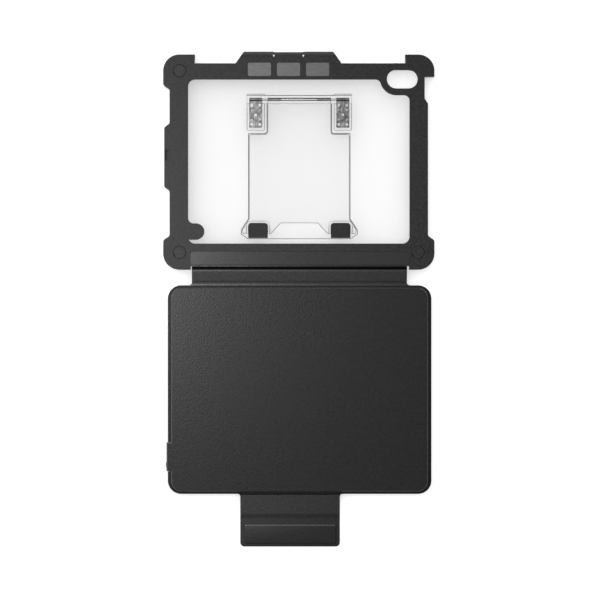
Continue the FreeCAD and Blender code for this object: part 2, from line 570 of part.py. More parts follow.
def bumper_frame():
    """The black rubbery frame: walls, lip, bumpers and every opening for the tablet."""
    frame = Piece("bumper_frame", SHELL_PLACE)
    frame.pad([rect(f"-{SHELL_X}", SHELL_X, f"-{SHELL_BOTTOM}", SHELL_TOP, "shell_corner")], "0", REAR_Z)
    frame.pad([top_bumper(-1, "left_bumper_across", "left_bumper_down")], "0", REAR_Z)
    frame.pad([top_bumper(1, "right_bumper_across", "right_bumper_down")], "0", REAR_Z)
    frame.pad([low_bumper(-1), low_bumper(1)], "0", REAR_Z)
    frame.pad([port_swelling()], "0", REAR_Z)
    add_bumper_rounds(frame)
    inner, outer = f"{SHELL_X} - power_inset", f"{SHELL_X} + overrun"
    frame.cut([rect(inner, f"{BUMPER_X} + overrun", POWER_BOTTOM, POWER_TOP)], "0", REAR_Z)
    frame.cut([polygon((inner, POWER_BOTTOM), (outer, POWER_BOTTOM),
                       (outer, f"{POWER_BOTTOM} - power_slant"))], "0", REAR_Z)
    add_soft_edges(frame)
    frame.cut([rect(HOLDER_X0, HOLDER_X1, HOLDER_Y, f"{SHELL_TOP} + overrun")], "0", REAR_Z)
    cut_window(frame)
    cut_bay(frame)
    cut_rear_seats(frame)
    cut_side_openings(frame)
    return frame


def add_bumper_rounds(frame):
    """Round the outer corners of the bumpers, and ease where they run back to the flat sides."""
    corners = [(f"{s} * {BUMPER_X}", y) for s in (-1, 1) for y in (BUMPER_TOP, f"-{SHELL_BOTTOM}")]
    frame.fillet("bumper_corner", upright(*corners))
    left, right = f"-{SHELL_X}", SHELL_X
    low = f"(low_bumper_up - {SHELL_BOTTOM})"
    half = "port_length / 2"
    eased = [
        (f"-{BUMPER_X}", f"{BUMPER_TOP} - left_bumper_down"),
        (left, f"{BUMPER_TOP} - left_bumper_down - bumper_slant"),
        (f"{left} - port_out", f"port_middle + {half}"), (left, f"port_middle + {half} + port_slant"),
        (f"{left} - port_out", f"port_middle - {half}"), (left, f"port_middle - {half} - port_slant"),
        (f"-{BUMPER_X}", low), (left, f"{low} + bumper_slant"),
        (BUMPER_X, low), (right, f"{low} + bumper_slant"),
    ]
    frame.fillet("bumper_blend", upright(*eased))


def add_soft_edges(frame):
    """Round the outer edge of the rear face and of the front lip."""
    frame.fillet("soft_edge", level_with(REAR_Z))
    frame.fillet("soft_lip", level_with("0"))


def pen_holder():
    """The pen tube with slanted ends, its bore, and the two reliefs that free the middle tongue."""
    holder = Piece("pen_holder", SHELL_PLACE)
    holder.pad([rect(HOLDER_Y, PEN_Y, "0", REAR_Z), circle(PEN_Y, TUBE_RADIUS, TUBE_RADIUS)],
               HOLDER_X0, HOLDER_X1, "YZ_Plane")
    top, slope = f"({PEN_Y} + {TUBE_RADIUS} + overrun)", "((holder_base - holder_top) / 2)"
    ends = []
    for side in (-1, 1):
        foot = f"-pen_x + {side} * holder_base / 2"
        ends.append(polygon((foot, SHELL_TOP), (f"{foot} - {side} * {slope}", top),
                            (f"{foot} + {side} * overrun", top), (f"{foot} + {side} * overrun", SHELL_TOP)))
    holder.cut(ends, "0", REAR_Z)
    bore = circle(PEN_Y, TUBE_RADIUS, "pen_diameter / 2 + pen_gap")
    holder.cut([bore], f"{HOLDER_X0} - overrun", f"{HOLDER_X1} + overrun", "YZ_Plane")
    tongue = rect("-pen_x - tongue_width / 2", "-pen_x + tongue_width / 2",
                  f"{PEN_Y} + {TUBE_RADIUS} - tongue_drop", top)
    holder.cut([tongue], "0", REAR_Z)
    reliefs = []
    for side in (-1, 1):
        x = f"-pen_x + {side} * tongue_width / 2"
        reliefs.append(polygon((x, f"{PEN_Y} + relief_out - relief_height / 2"),
                               (f"{x} + relief_width / 2", f"{PEN_Y} + relief_out + relief_height / 2"),
                               (f"{x} - relief_width / 2", f"{PEN_Y} + relief_out + relief_height / 2")))
    holder.cut(reliefs, "0", REAR_Z)
    holder.cut(keeper_seats(), KEEPER_SEAT_Z, REAR_Z)


def cut_window(frame):
    """Open the rear, leave the camera island and the tab, and cut the seat for the panel's flange."""
    frame.cut([window("0")], BAY_TOP_Z, REAR_Z)
    for outline in (*camera_island("camera_rim"), *round_tab()):
        frame.pad([outline], FLANGE_Z, REAR_Z)
    blend_window(frame)
    frame.cut([window("flange_reach")], BAY_TOP_Z, FLANGE_Z)
    for outline in camera_island("(camera_rim - flange_reach)"):
        frame.pad([outline], BAY_TOP_Z, FLANGE_Z)
    frame.cut([pill(CAMERA_X, CAMERA_Y, "camera_length", "camera_height")], BAY_TOP_Z, REAR_Z)


def cut_bay(frame):
    """Cut the room for the tablet and the display opening inside the lip."""
    bay = block("0", "0", f"(2 * {BAY_HALF_X})", f"(2 * {BAY_HALF_Y})", "tablet_corner")
    frame.cut([bay], "lip_thickness", BAY_TOP_Z)
    display = block("0", "0", "(tablet_width - 2 * lip_overlap)", "(tablet_height - 2 * lip_overlap)",
                    "tablet_corner - lip_overlap")
    frame.cut([display], "0", "lip_thickness")


def plug_spots():
    """The three corners that have a round plug."""
    top, bottom = f"{SHELL_TOP} - plug_from_top", f"plug_from_bottom - {SHELL_BOTTOM}"
    return (("corner_plug_top_left", f"-{PLUG_X}", top),
            ("corner_plug_bottom_left", f"-{PLUG_X}", bottom),
            ("corner_plug_bottom_right", PLUG_X, bottom))


def keeper_x(step):
    """The middle of the left, middle or right keeper plate, step -1, 0 or 1."""
    return f"-pen_x + {step} * keeper_pitch"


def keeper_seats():
    """The seats of the three keeper plates, which cross from the frame onto the pen holder."""
    return [block(keeper_x(step), KEEPER_Y, "(keeper_width + 2 * keeper_gap)",
                  "(keeper_height + 2 * keeper_gap)", "keeper_corner") for step in (-1, 0, 1)]


def cut_rear_seats(frame):
    """Sink seats for the plugs, keeper plates and mounting bar, and cut the notch for the spine."""
    frame.cut([circle(x, y, "plug_radius") for _, x, y in plug_spots()],
              f"{REAR_Z} - plug_thickness", REAR_Z)
    frame.cut(keeper_seats(), KEEPER_SEAT_Z, REAR_Z)
    left, right = f"{BAR_X0} - bar_gap", f"{BAR_X1} + bar_gap"
    frame.cut([rect(left, right, f"-{BAR_Y} - bar_gap - bar_corner", f"-{BAR_Y} + {BAR_HEIGHT} + bar_gap",
                    "bar_corner")], BAR_BOTTOM_Z, REAR_Z)
    frame.cut([rect(left, right, f"-{SHELL_BOTTOM} - overrun", f"-{SHELL_BOTTOM} + spine_notch")],
              "0", REAR_Z)
    screws = [circle(x, bar_screw_y(), "bar_screw_shank") for x in bar_screw_xs()]
    heads = [circle(x, bar_screw_y(), "bar_screw_head") for x in bar_screw_xs()]
    frame.cut(screws, "0", BAR_BOTTOM_Z)
    frame.cut(heads, "0", "lip_thickness + bar_head_seat")


def bar_screw_xs():
    """Where the five bar screws stand along X."""
    middle, reach = f"({BAR_X0} + {BAR_X1}) / 2", f"(({BAR_X1} - {BAR_X0}) / 2 - bar_screw_end)"
    return [f"{middle} + {step} * {reach} / 2" for step in (-2, -1, 0, 1, 2)]


def bar_screw_y():
    """The line of the bar screws, in the middle of the bar."""
    return f"(-{BAR_Y} + {BAR_HEIGHT} / 2)"


def cut_side_openings(frame):
    """Open the walls for the charging port, volume buttons and speakers, and cut the port's rear notch."""
    inner, outer = f"(overrun - {BAY_HALF_X})", f"-{SHELL_X} - port_out - overrun"
    low = "(lip_thickness + port_floor)"
    port = rect("port_y - port_gap_y / 2", "port_y + port_gap_y / 2", low, f"{low} + port_gap_z",
                "opening_corner")
    frame.cut([port], outer, inner, "YZ_Plane")
    left = f"(-{SHELL_X} - port_out + notch_inset)"
    notch = rect(left, f"{left} + notch_width", "port_y - notch_length / 2", "port_y + notch_length / 2")
    frame.cut([notch], f"{REAR_Z} - notch_depth", REAR_Z)
    volume = block("tablet_width / 2 - volume_in", f"({low} + volume_height / 2)", "volume_length",
                   "volume_height", "opening_corner")
    frame.cut([volume], f"{BAY_HALF_Y} - overrun", f"{SHELL_TOP} + overrun", "XZ_Plane")
    middle = "(lip_thickness + tablet_thickness / 2)"
    slots = [pill(f"{side} * speaker_y", middle, "speaker_length", "speaker_height") for side in (-1, 1)]
    frame.cut(slots, outer, inner, "YZ_Plane")
    frame.cut(slots, f"-{inner}", f"{SHELL_X} + overrun", "YZ_Plane")


def stand_outline(gap):
    """Half of the kickstand's outline from its axis down to the ear, spread by a gap."""
    return [
        (f"stand_neck / 2 + {gap}", STAND_AXIS_Y),
        (f"stand_neck / 2 + {gap}", f"{STAND_STEP_Y} + {gap}"),
        (f"stand_width / 2 + {gap}", f"{STAND_STEP_Y} + {gap}"),
        (f"stand_width / 2 + {gap}", f"-{STAND_FLARE_Y} + {gap} / 2"),
        (f"stand_flare_width / 2 + {gap}", f"-{STAND_EAR_Y} + {gap} / 2"),
    ]


def back_panel():
    """The clear panel, sunk for the kickstand, the hinges and their shafts."""
    panel = Piece("back_panel", SHELL_PLACE)
    panel.pad([window("(flange_reach - flange_gap)")], BAY_TOP_Z, FLANGE_Z)
    for outline in camera_island("(camera_rim - flange_reach + flange_gap)"):
        panel.cut([outline], BAY_TOP_Z, FLANGE_Z)
    panel.pad([window("0")], FLANGE_Z, PANEL_Z)
    for outline in (*camera_island("camera_rim"), *round_tab()):
        panel.cut([outline], FLANGE_Z, PANEL_Z)
    blend_window(panel)
    half = [*stand_outline("stand_gap"),
            ("stand_flare_width / 2 + stand_gap", f"-{STAND_END_Y} - stand_gap"),
            (f"{FOOT_X} + foot_width / 2 + stand_gap", f"-{FOOT_END_Y} - stand_gap")]
    panel.cut([mirrored(half, "stand_x")], RECESS_Z, PANEL_Z)
    steps = [(f"stand_x + {s} * (stand_neck / 2 + stand_gap)", f"{STAND_STEP_Y} + stand_gap")
             for s in (-1, 1)]
    panel.fillet("stand_corner - stand_gap", upright(*steps))
    reach = "(stand_flare_width / 2 + stand_gap + overrun)"
    near = (f"stand_x - {reach}", f"stand_x + {reach}", f"-{FOOT_END_Y} - overrun",
            f"{STAND_AXIS_Y} - overrun")
    panel.chamfer("panel_bevel", level_with(PANEL_Z, near))
    for side in (-1, 1):
        panel.cut([leaf_pocket(side)], POCKET_Z, PANEL_Z)
    reach = f"({LEAF_CENTRE} + {POCKET_HALF})"
    slot = rect(f"stand_x - {reach}", f"stand_x + {reach}", f"{STAND_AXIS_Y} - slot_down",
                f"{STAND_AXIS_Y} + slot_up")
    panel.cut([slot], SLOT_Z, PANEL_Z)
    holes = [circle(x, y, "screw_shank") for x, y in leaf_screw_spots()]
    panel.cut(holes, f"{POCKET_Z} - screw_bite", POCKET_Z)
    return panel


def leaf_x(side):
    """The middle of a hinge leaf."""
    return f"(stand_x + {side} * {LEAF_CENTRE})"


def leaf_pocket(side):
    """The pocket in the panel round one hinge leaf."""
    return rect(f"{leaf_x(side)} - {POCKET_HALF}", f"{leaf_x(side)} + {POCKET_HALF}",
                f"{LEAF_END_Y} - pocket_down", f"{STAND_AXIS_Y} + pocket_up", "pocket_corner")


def leaf_screw_spots():
    """Five screw places on each leaf, at its corners and its middle."""
    spots = []
    for side in (-1, 1):
        spots.append((leaf_x(side), LEAF_MIDDLE_Y))
        for across in (-1, 1):
            for up in (-1, 1):
                spots.append((f"{leaf_x(side)} + {across} * {SCREW_X}",
                              f"{LEAF_MIDDLE_Y} + {up} * {SCREW_Y}"))
    return spots


def hinge_leaf(label, side):
    """The fixed half of a friction hinge: a plate screwed to the panel, with a barrel."""
    leaf = Piece(label, SHELL_PLACE)
    x0, x1 = f"{leaf_x(side)} - leaf_width / 2", f"{leaf_x(side)} + leaf_width / 2"
    leaf.pad([rect(x0, x1, LEAF_END_Y, STAND_AXIS_Y)], POCKET_Z, LEAF_Z)
    leaf.pad([circle(STAND_AXIS_Y, STAND_AXIS_Z, "barrel_radius")], x0, x1, "YZ_Plane")
    bore = circle(STAND_AXIS_Y, STAND_AXIS_Z, "shaft_radius + shaft_play")
    leaf.cut([bore], f"{x0} - overrun", f"{x1} + overrun", "YZ_Plane")
    spots = leaf_screw_spots()
    own = spots[:5] if side < 0 else spots[5:]
    leaf.cut([circle(x, y, "screw_shank") for x, y in own], POCKET_Z, LEAF_Z)
    small = [circle(f"{leaf_x(side)} + {a} * {SCREW_X}", f"{LEAF_MIDDLE_Y} + {u} * {SCREW_Y} / 2",
                    "leaf_hole") for a in (-1, 1) for u in (-1, 1)]
    leaf.cut(small, POCKET_Z, LEAF_Z)
    leaf.fillet("leaf_corner", upright((x0, LEAF_END_Y), (x1, LEAF_END_Y)))


def hinge_screws():
    """Ten small screws that hold the leaves, each with a cross slot."""
    screws = Piece("hinge_screws", SHELL_PLACE)
    spots = leaf_screw_spots()
    top = f"({LEAF_Z} + screw_head_height)"
    screws.pad([circle(x, y, "screw_shank") for x, y in spots], f"{POCKET_Z} - screw_bite", LEAF_Z)
    screws.pad([circle(x, y, "screw_head") for x, y in spots], LEAF_Z, top)
    span = "(2 * driver_share * screw_head)"
    screws.cut([block(x, y, span, "driver_slot") for x, y in spots], f"{top} - driver_depth", top)
    screws.cut([block(x, y, "driver_slot", span) for x, y in spots], f"{top} - driver_depth", top)


def mounting_bar():
    """The bar that clamps the spine's skin in the bottom rail."""
    bar = Piece("mounting_bar", SHELL_PLACE)
    top = f"-{BAR_Y} + {BAR_HEIGHT}"
    bar.pad([rect(BAR_X0, BAR_X1, f"-{BAR_Y}", top)], BAR_BOTTOM_Z, BAR_TOP_Z)
    bar.fillet("bar_corner - bar_gap", upright((BAR_X0, top), (BAR_X1, top)))
    near = (BAR_X0, BAR_X1, f"-{BAR_Y} - bar_gap", f"-{BAR_Y} + bar_gap")
    bar.fillet("bar_edge", level_with(BAR_TOP_Z, near))
    slot = rect(f"-{BAR_Y} - overrun", f"-{BAR_Y} + clamp_depth", f"{CLAMP_Z} - skin_thickness / 2",
                f"{CLAMP_Z} + skin_thickness / 2")
    bar.cut([slot], SPINE_X0, SPINE_X1, "YZ_Plane")
    bar.cut([circle(x, bar_screw_y(), "bar_screw_shank") for x in bar_screw_xs()],
            BAR_BOTTOM_Z, f"{BAR_BOTTOM_Z} + bar_screw_bite")


def bar_screws():
    """Five screws from the front through the rail into the bar."""
    screws = Piece("bar_screws", SHELL_PLACE)
    screws.pad([circle(x, bar_screw_y(), "bar_screw_shank") for x in bar_screw_xs()],
               "lip_thickness", f"{BAR_BOTTOM_Z} + bar_screw_bite")
    screws.pad([circle(x, bar_screw_y(), "bar_screw_head") for x in bar_screw_xs()],
               "bar_head_recess", "lip_thickness + bar_head_seat")
    screws.cut([block(x, bar_screw_y(), "(2 * driver_share * bar_screw_head)", "bar_driver_slot")
                for x in bar_screw_xs()], "bar_head_recess", "bar_head_recess + driver_depth")


def shell_trim():
    """Plugs, keeper plates and the clamped strip of skin."""
    for label, x, y in plug_spots():
        plain(label, SHELL_PLACE, circle(x, y, "plug_radius - plug_gap"),
              f"{REAR_Z} - plug_thickness", REAR_Z)
    for label, step in (("left", -1), ("middle", 0), ("right", 1)):
        plate = block(keeper_x(step), KEEPER_Y, "keeper_width", "keeper_height", "keeper_corner")
        plain(f"keeper_plate_{label}", SHELL_PLACE, plate, KEEPER_SEAT_Z, f"{REAR_Z} - keeper_sink")
    tongue = rect(SPINE_X0, SPINE_X1, f"-{SPINE_FOLD} + fold_gap", f"-{BAR_Y} + clamp_depth")
    plain("spine_tongue", SHELL_PLACE, tongue, f"{CLAMP_Z} - skin_thickness / 2",
          f"{CLAMP_Z} + skin_thickness / 2")


def foot_box(side, grow="0", radius=None):
    """The outline of one kickstand foot."""
    x = f"(stand_x + {side} * {FOOT_X})"
    return rect(f"{x} - foot_width / 2 - {grow}", f"{x} + foot_width / 2 + {grow}", f"-{FOOT_END_Y}",
                f"-{FOOT_TOP_Y} + {grow}", radius)


def kickstand():
    """The clear plate with its barrel, the two rubber feet and the two steel shafts."""
    plate = Piece("kickstand_plate", SHELL_PLACE)
    half = [*stand_outline("0"),
            ("stand_flare_width / 2 - stand_taper", f"-{STAND_END_Y}"),
            ("stand_notch_low / 2", f"-{STAND_END_Y}"),
            ("stand_notch_high / 2", f"-{STAND_NOTCH_Y}")]
    plate.pad([mirrored(half, "stand_x")], STAND_LOW_Z, STAND_TOP_Z)
    corners = [(f"stand_x + {s} * {x} / 2", y) for s in (-1, 1) for x, y in
               (("stand_neck", STAND_STEP_Y), ("stand_width", STAND_STEP_Y),
                ("stand_flare_width", f"-{STAND_EAR_Y}"), ("stand_notch_high", f"-{STAND_NOTCH_Y}"))]
    plate.fillet("stand_corner", upright(*corners))
    half_wide, low = "(stand_flare_width / 2 + overrun)", f"-{STAND_END_Y} - overrun"
    inside = (f"stand_x - {half_wide}", f"stand_x + {half_wide}", low, f"{STAND_AXIS_Y} - overrun")
    plate.chamfer("stand_bevel", level_with(STAND_TOP_Z, inside))
    neck = "(stand_neck / 2)"
    plate.pad([circle(STAND_AXIS_Y, STAND_AXIS_Z, "barrel_radius")], f"stand_x - {neck}",
              f"stand_x + {neck}", "YZ_Plane")
    bore = circle(STAND_AXIS_Y, STAND_AXIS_Z, "shaft_radius + shaft_fit")
    plate.cut([bore], f"stand_x + {SHAFT_END}", f"stand_x + {neck} + overrun", "YZ_Plane")
    plate.cut([bore], f"stand_x - {neck} - overrun", f"stand_x - {SHAFT_END}", "YZ_Plane")
    grooves = [foot_box(side, "foot_groove", "foot_corner + foot_groove") for side in (-1, 1)]
    plate.cut(grooves, f"{STAND_TOP_Z} - foot_step", STAND_TOP_Z)
    plate.cut([foot_box(side, radius="foot_corner") for side in (-1, 1)], STAND_LOW_Z, STAND_TOP_Z)
    top = f"({STAND_AXIS_Z} + barrel_radius)"
    dimples = [circle(f"stand_x + {step - (DIMPLES - 1) / 2} * dimple_pitch", STAND_AXIS_Y, "dimple_radius")
               for step in range(DIMPLES)]
    plate.cut(dimples, f"{top} - dimple_depth", top)
    for label, side in (("left", -1), ("right", 1)):
        foot = plain(f"kickstand_foot_{label}", SHELL_PLACE, foot_box(side), STAND_LOW_Z,
                     f"{STAND_TOP_Z} + foot_stand")
        corners = [(f"stand_x + {side} * {FOOT_X} + {s} * foot_width / 2", f"-{FOOT_TOP_Y}")
                   for s in (-1, 1)]
        foot.fillet("foot_corner", upright(*corners))
        foot.fillet("foot_edge", level_with(f"{STAND_TOP_Z} + foot_stand"))
        shaft = Piece(f"hinge_shaft_{label}", SHELL_PLACE)
        ends = [SHAFT_END, f"{LEAF_CENTRE} + leaf_width / 2 - shaft_inset"]
        start, end = (f"stand_x + {side} * ({e})" for e in ends[::side])
        shaft.pad([circle(STAND_AXIS_Y, STAND_AXIS_Z, "shaft_radius")], start, end, "YZ_Plane")


def spine():
    """The strip between the two fold lines: outer skin, stiff board and lining."""
    half, low, high = f"(({SPINE_X1} - {SPINE_X0}) / 2)", f"-{SPINE_LENGTH} + fold_gap", "-fold_gap"
    outer = rect(f"-{half}", half, low, high)
    board = rect(f"-{half} + board_inset", f"{half} - board_inset", low, high)
    split = "(board_thickness / 2)"
    plain("spine_skin", SPINE_PLACE, outer, split, "spine_thickness / 2")
    plain("spine_board", SPINE_PLACE, board, f"-{split}", split)
    plain("spine_lining", SPINE_PLACE, outer, "-spine_thickness / 2", f"-{split}")


def side_box(reach, extra="0"):
    """The box on the folio's left edge that holds the charging socket and the power slider."""
    out = f"(-folio_width / 2 - {reach})"
    return rect(out, "-folio_width / 2 + side_box_deep", f"-{SIDE_BOX_Y} - side_box_length / 2 - {extra}",
                f"-{SIDE_BOX_Y} + side_box_length / 2 + {extra}")


def folio():
    """The flexible sheet and the hard back cover on it."""
    half = "folio_width / 2"
    sheet = plain("folio_skin", FOLIO_PLACE,
                  rect(f"-{half}", half, "-folio_length + fold_gap", "-fold_gap", "folio_corner"),
                  SHEET_LOW_Z, SHEET_TOP_Z)
    sheet.cut([side_box("overrun", "side_box_gap")], SHEET_LOW_Z, SHEET_TOP_Z)
    inner = f"({half} - cover_inset)"
    cover = plain("back_cover", FOLIO_PLACE,
                  rect(f"-{inner}", inner, "-folio_length + cover_inset", "-cover_top_inset",
                       "cover_corner"),
                  SHEET_TOP_Z, COVER_Z)
    cover.pad([side_box("side_box_out")], SHEET_TOP_Z, COVER_Z)
    cover.chamfer("cover_bevel", level_with(COVER_Z))


def row_y(row):
    """The far and near edges of a key row, row 0 being the function keys."""
    if row == 0:
        return "-function_y", "-function_y - function_pitch"
    far = f"-row_start - {row - 1} * {ROW_PITCH}"
    return far, f"{far} - {ROW_PITCH}"


def cap(first, width, row, grow="0", upper=None):
    """One key's outline, from its first unit and its width in units, on the side that faces down."""
    far, near = row_y(row)
    x1 = f"{KEY_UNIT} * {KEYS_WIDE / 2 - first} - key_gap / 2 + {grow}"
    x0 = f"{KEY_UNIT} * {KEYS_WIDE / 2 - first - width} + key_gap / 2 - {grow}"
    y0, y1 = f"{near} + key_gap / 2 - {grow}", f"{far} - key_gap / 2 + {grow}"
    if upper is True:
        y0 = f"{far} - {ROW_PITCH} / 2 + key_split / 2"
    if upper is False:
        y1 = f"{far} - {ROW_PITCH} / 2 - key_split / 2"
    return rect(x0, x1, y0, y1)


def even_keys(first, count, row, width=1.0):
    """A run of equal keys, as (first unit, width, row)."""
    return [(first + i * width, width, row) for i in range(count)]


KEY_GROUPS = {
    "function_keys": even_keys(0, 14, 0, KEYS_WIDE / 14),
    "number_keys": even_keys(0, 13, 1),
    "delete_key": [(13, 1.5, 1)],
    "tab_key": [(0, 1.5, 2)],
    "upper_letter_keys": even_keys(1.5, 13, 2),
    "caps_key": [(0, 1.75, 3)],
    "home_letter_keys": even_keys(1.75, 11, 3),
    "return_key": [(12.75, 1.75, 3)],
    "left_shift_key": [(0, 2.25, 4)],
    "lower_letter_keys": even_keys(2.25, 10, 4),
    "right_shift_key": [(12.25, 2.25, 4)],
    "left_modifier_keys": [*even_keys(0, 3, 5), (3, 1.25, 5)],
    "space_bar": [(4.25, 5.0, 5)],
    "right_modifier_keys": [(9.25, 1.25, 5), (10.5, 1.0, 5)],
    "arrow_keys": [(11.5, 1.0, 5), (12.5, 1.0, 5, True), (12.5, 1.0, 5, False), (13.5, 1.0, 5)],
}


def keys():
    """The keycaps, one piece for each group that shares a row and a size."""
    for label, group in KEY_GROUPS.items():
        caps = [cap(*key[:3], upper=key[3] if len(key) > 3 else None) for key in group]
        piece = Piece(label, FOLIO_PLACE).pad(caps, "key_top", "key_top + key_thickness")
        piece.fillet("key_corner", upright())


def key_openings(row):
    """The openings of one row in the deck, each a little larger than its key."""
    group = [key for keys_of in KEY_GROUPS.values() for key in keys_of if key[2] == row]
    whole = {key[:3]: key for key in group}
    return [cap(*key, grow="key_slack") for key in whole]


def keyboard_deck():
    """The deck: rim, sunken key well, key openings, trackpad opening and the hollow behind them."""
    deck = Piece("keyboard_deck", FOLIO_PLACE)
    deck.pad([rect(f"-{DECK_HALF}", DECK_HALF, "-folio_length + deck_inset", "-deck_edge", "deck_corner")],
             "0", SHEET_LOW_Z)
    deck.pad([side_box("side_box_out")], "side_box_low", SHEET_TOP_Z)
    deck.chamfer("deck_bevel", level_with("0"))
    across = "(folio_width / 2 - key_margin + well_margin)"
    far, near = "(-function_y + well_margin)", f"(-{ROWS_END} - well_margin)"
    room = rect(f"-{DECK_INNER}", DECK_INNER, "-folio_length + deck_inset + deck_wall",
                "-deck_edge - deck_wall", "deck_corner - deck_wall")
    deck.cut([room], WEB_Z, SHEET_LOW_Z)
    palm = rect(f"-{DECK_INNER}", DECK_INNER, "-folio_length + deck_inset + deck_wall",
                f"{near} - palm_gap", "deck_corner - deck_wall")
    deck.cut([palm], "deck_skin", WEB_Z)
    deck.cut([rect(f"-{across}", across, near, far, "well_corner")], "0", "well_depth")
    for row in range(KEY_ROWS + 1):
        deck.cut(key_openings(row), "well_depth", WEB_Z)
    deck.cut([block("0", f"-{PAD_Y}", "(pad_width + 2 * pad_slack)", "(pad_height + 2 * pad_slack)",
                    "pad_corner")], "0", "deck_skin")
    deck.cut([circle(x, "-light_y", "light_radius") for x in light_xs()], "0", WEB_Z)
    outside, inside = f"{SIDE_FACE} - overrun", "-folio_width / 2 + side_box_deep + overrun"
    socket = pill(f"-{SOCKET_Y}", SOCKET_Z, "(socket_width + 2 * socket_gap)",
                  "(socket_height + 2 * socket_gap)")
    deck.cut([socket], outside, inside, "YZ_Plane")
    slot = block(f"-{SLIDER_Y}", SOCKET_Z, "(slider_length + slider_travel + 2 * slider_gap)",
                 "(slider_height + 2 * slider_gap)")
    deck.cut([slot], outside, inside, "YZ_Plane")


def light_xs():
    """Where the three status lights stand."""
    return [f"light_in - folio_width / 2 + {step} * light_pitch" for step in (-1, 0, 1)]


def deck_screw_spots():
    """Screws along both ends of the key area."""
    return [(f"{side} * {DECK_SCREW_X}", y) for side in (-1, 1)
            for y in ("-function_y - deck_screw_down", f"deck_screw_up - {ROWS_END}")]


def switch_layers():
    """The key membrane, the steel plate on it and the screws that hold both to the deck."""
    across = f"({DECK_SCREW_X} + plate_margin)"
    area = rect(f"-{across}", across, f"-{ROWS_END}", "-function_y + plate_top")
    holes = [circle(x, y, "deck_screw_shank") for x, y in deck_screw_spots()]
    for label, low, high in (("key_membrane", WEB_Z, MEMBRANE_Z), ("switch_plate", MEMBRANE_Z, PLATE_Z)):
        layer = plain(label, FOLIO_PLACE, area, low, high)
        layer.cut(holes, low, high)
    screws = Piece("deck_screws", FOLIO_PLACE)
    screws.pad(holes, WEB_Z, PLATE_Z)
    heads = [circle(x, y, "deck_screw_head") for x, y in deck_screw_spots()]
    screws.pad(heads, PLATE_Z, f"{PLATE_Z} + deck_screw_head_height")


def trackpad():
    """The trackpad, the steel tray behind it and its switch."""
    plain("trackpad", FOLIO_PLACE, block("0", f"-{PAD_Y}", "pad_width", "pad_height", "pad_corner"),
          "pad_top", "pad_top + pad_thickness")
    outer = block("0", f"-{PAD_Y}", f"(2 * {PAD_SIDE})", "(pad_height + 2 * bracket_reach)", "pad_corner")
    inner = block("0", f"-{PAD_Y}", "(pad_width + 2 * tray_gap)", "(pad_height + 2 * tray_gap)",
                  "pad_corner")
    bracket = plain("trackpad_bracket", FOLIO_PLACE, outer, "deck_skin", "bracket_floor + bracket_thickness")
    bracket.cut([inner], "deck_skin", "bracket_floor")
    plain("trackpad_switch", FOLIO_PLACE,
          block("0", f"(-{PAD_Y} - pad_height / 4)", "switch_side", "switch_side"),
          PAD_ROOM_Z, "bracket_floor")


def electronics():
    """Battery, circuit board, charging socket, power slider, status lights and wake magnet."""
    plain("battery", FOLIO_PLACE,
          rect(f"{PAD_SIDE} + battery_gap", f"{DECK_INNER} - battery_side",
               "battery_up - folio_length", "battery_up + battery_length - folio_length", "battery_corner"),
          "deck_skin", "deck_skin + battery_height")
    plain("circuit_board", FOLIO_PLACE,
          rect(f"board_side - {DECK_INNER}", f"-{PAD_SIDE} - board_gap",
               "board_up - folio_length", "board_up + board_length - folio_length"),
          f"{SHEET_LOW_Z} - circuit_thickness", SHEET_LOW_Z)
    plain("wake_magnet", FOLIO_PLACE,
          block("(folio_width / 2 - magnet_in)", "(magnet_up - folio_length)", "magnet_side", "magnet_side"),
          "deck_skin", "deck_skin + magnet_thickness")
    mouth = f"{SIDE_FACE} + socket_sink"
    back = f"{mouth} + socket_depth"
    socket = Piece("usb_port", FOLIO_PLACE)
    socket.pad([pill(f"-{SOCKET_Y}", SOCKET_Z, "socket_width", "socket_height")], mouth, back, "YZ_Plane")
    socket.cut([pill(f"-{SOCKET_Y}", SOCKET_Z, "(socket_width - 2 * socket_wall)",
                     "(socket_height - 2 * socket_wall)")], mouth, f"{back} - socket_back", "YZ_Plane")
    socket.pad([block(f"-{SOCKET_Y}", SOCKET_Z, "tongue_span", "tongue_height")],
               f"{mouth} + tongue_sink", f"{back} - socket_back", "YZ_Plane")
    middle, tip = f"(-{SLIDER_Y} - slider_travel / 2)", f"{SIDE_FACE} - slider_out"
    slider = Piece("power_switch", FOLIO_PLACE)
    slider.pad([block(middle, SOCKET_Z, "slider_length", "slider_height")],
               tip, f"{SIDE_FACE} + slider_in", "YZ_Plane")
    for step in (-1, 0, 1):
        grip = block(f"({middle} + {step} * slider_length / 4)", SOCKET_Z, "grip_width", "slider_height")
        slider.cut([grip], tip, f"{tip} + grip_depth", "YZ_Plane")
    lights = Piece("status_lights", FOLIO_PLACE)
    lights.pad([circle(x, "-light_y", "light_radius") for x in light_xs()], "light_sink", WEB_Z)


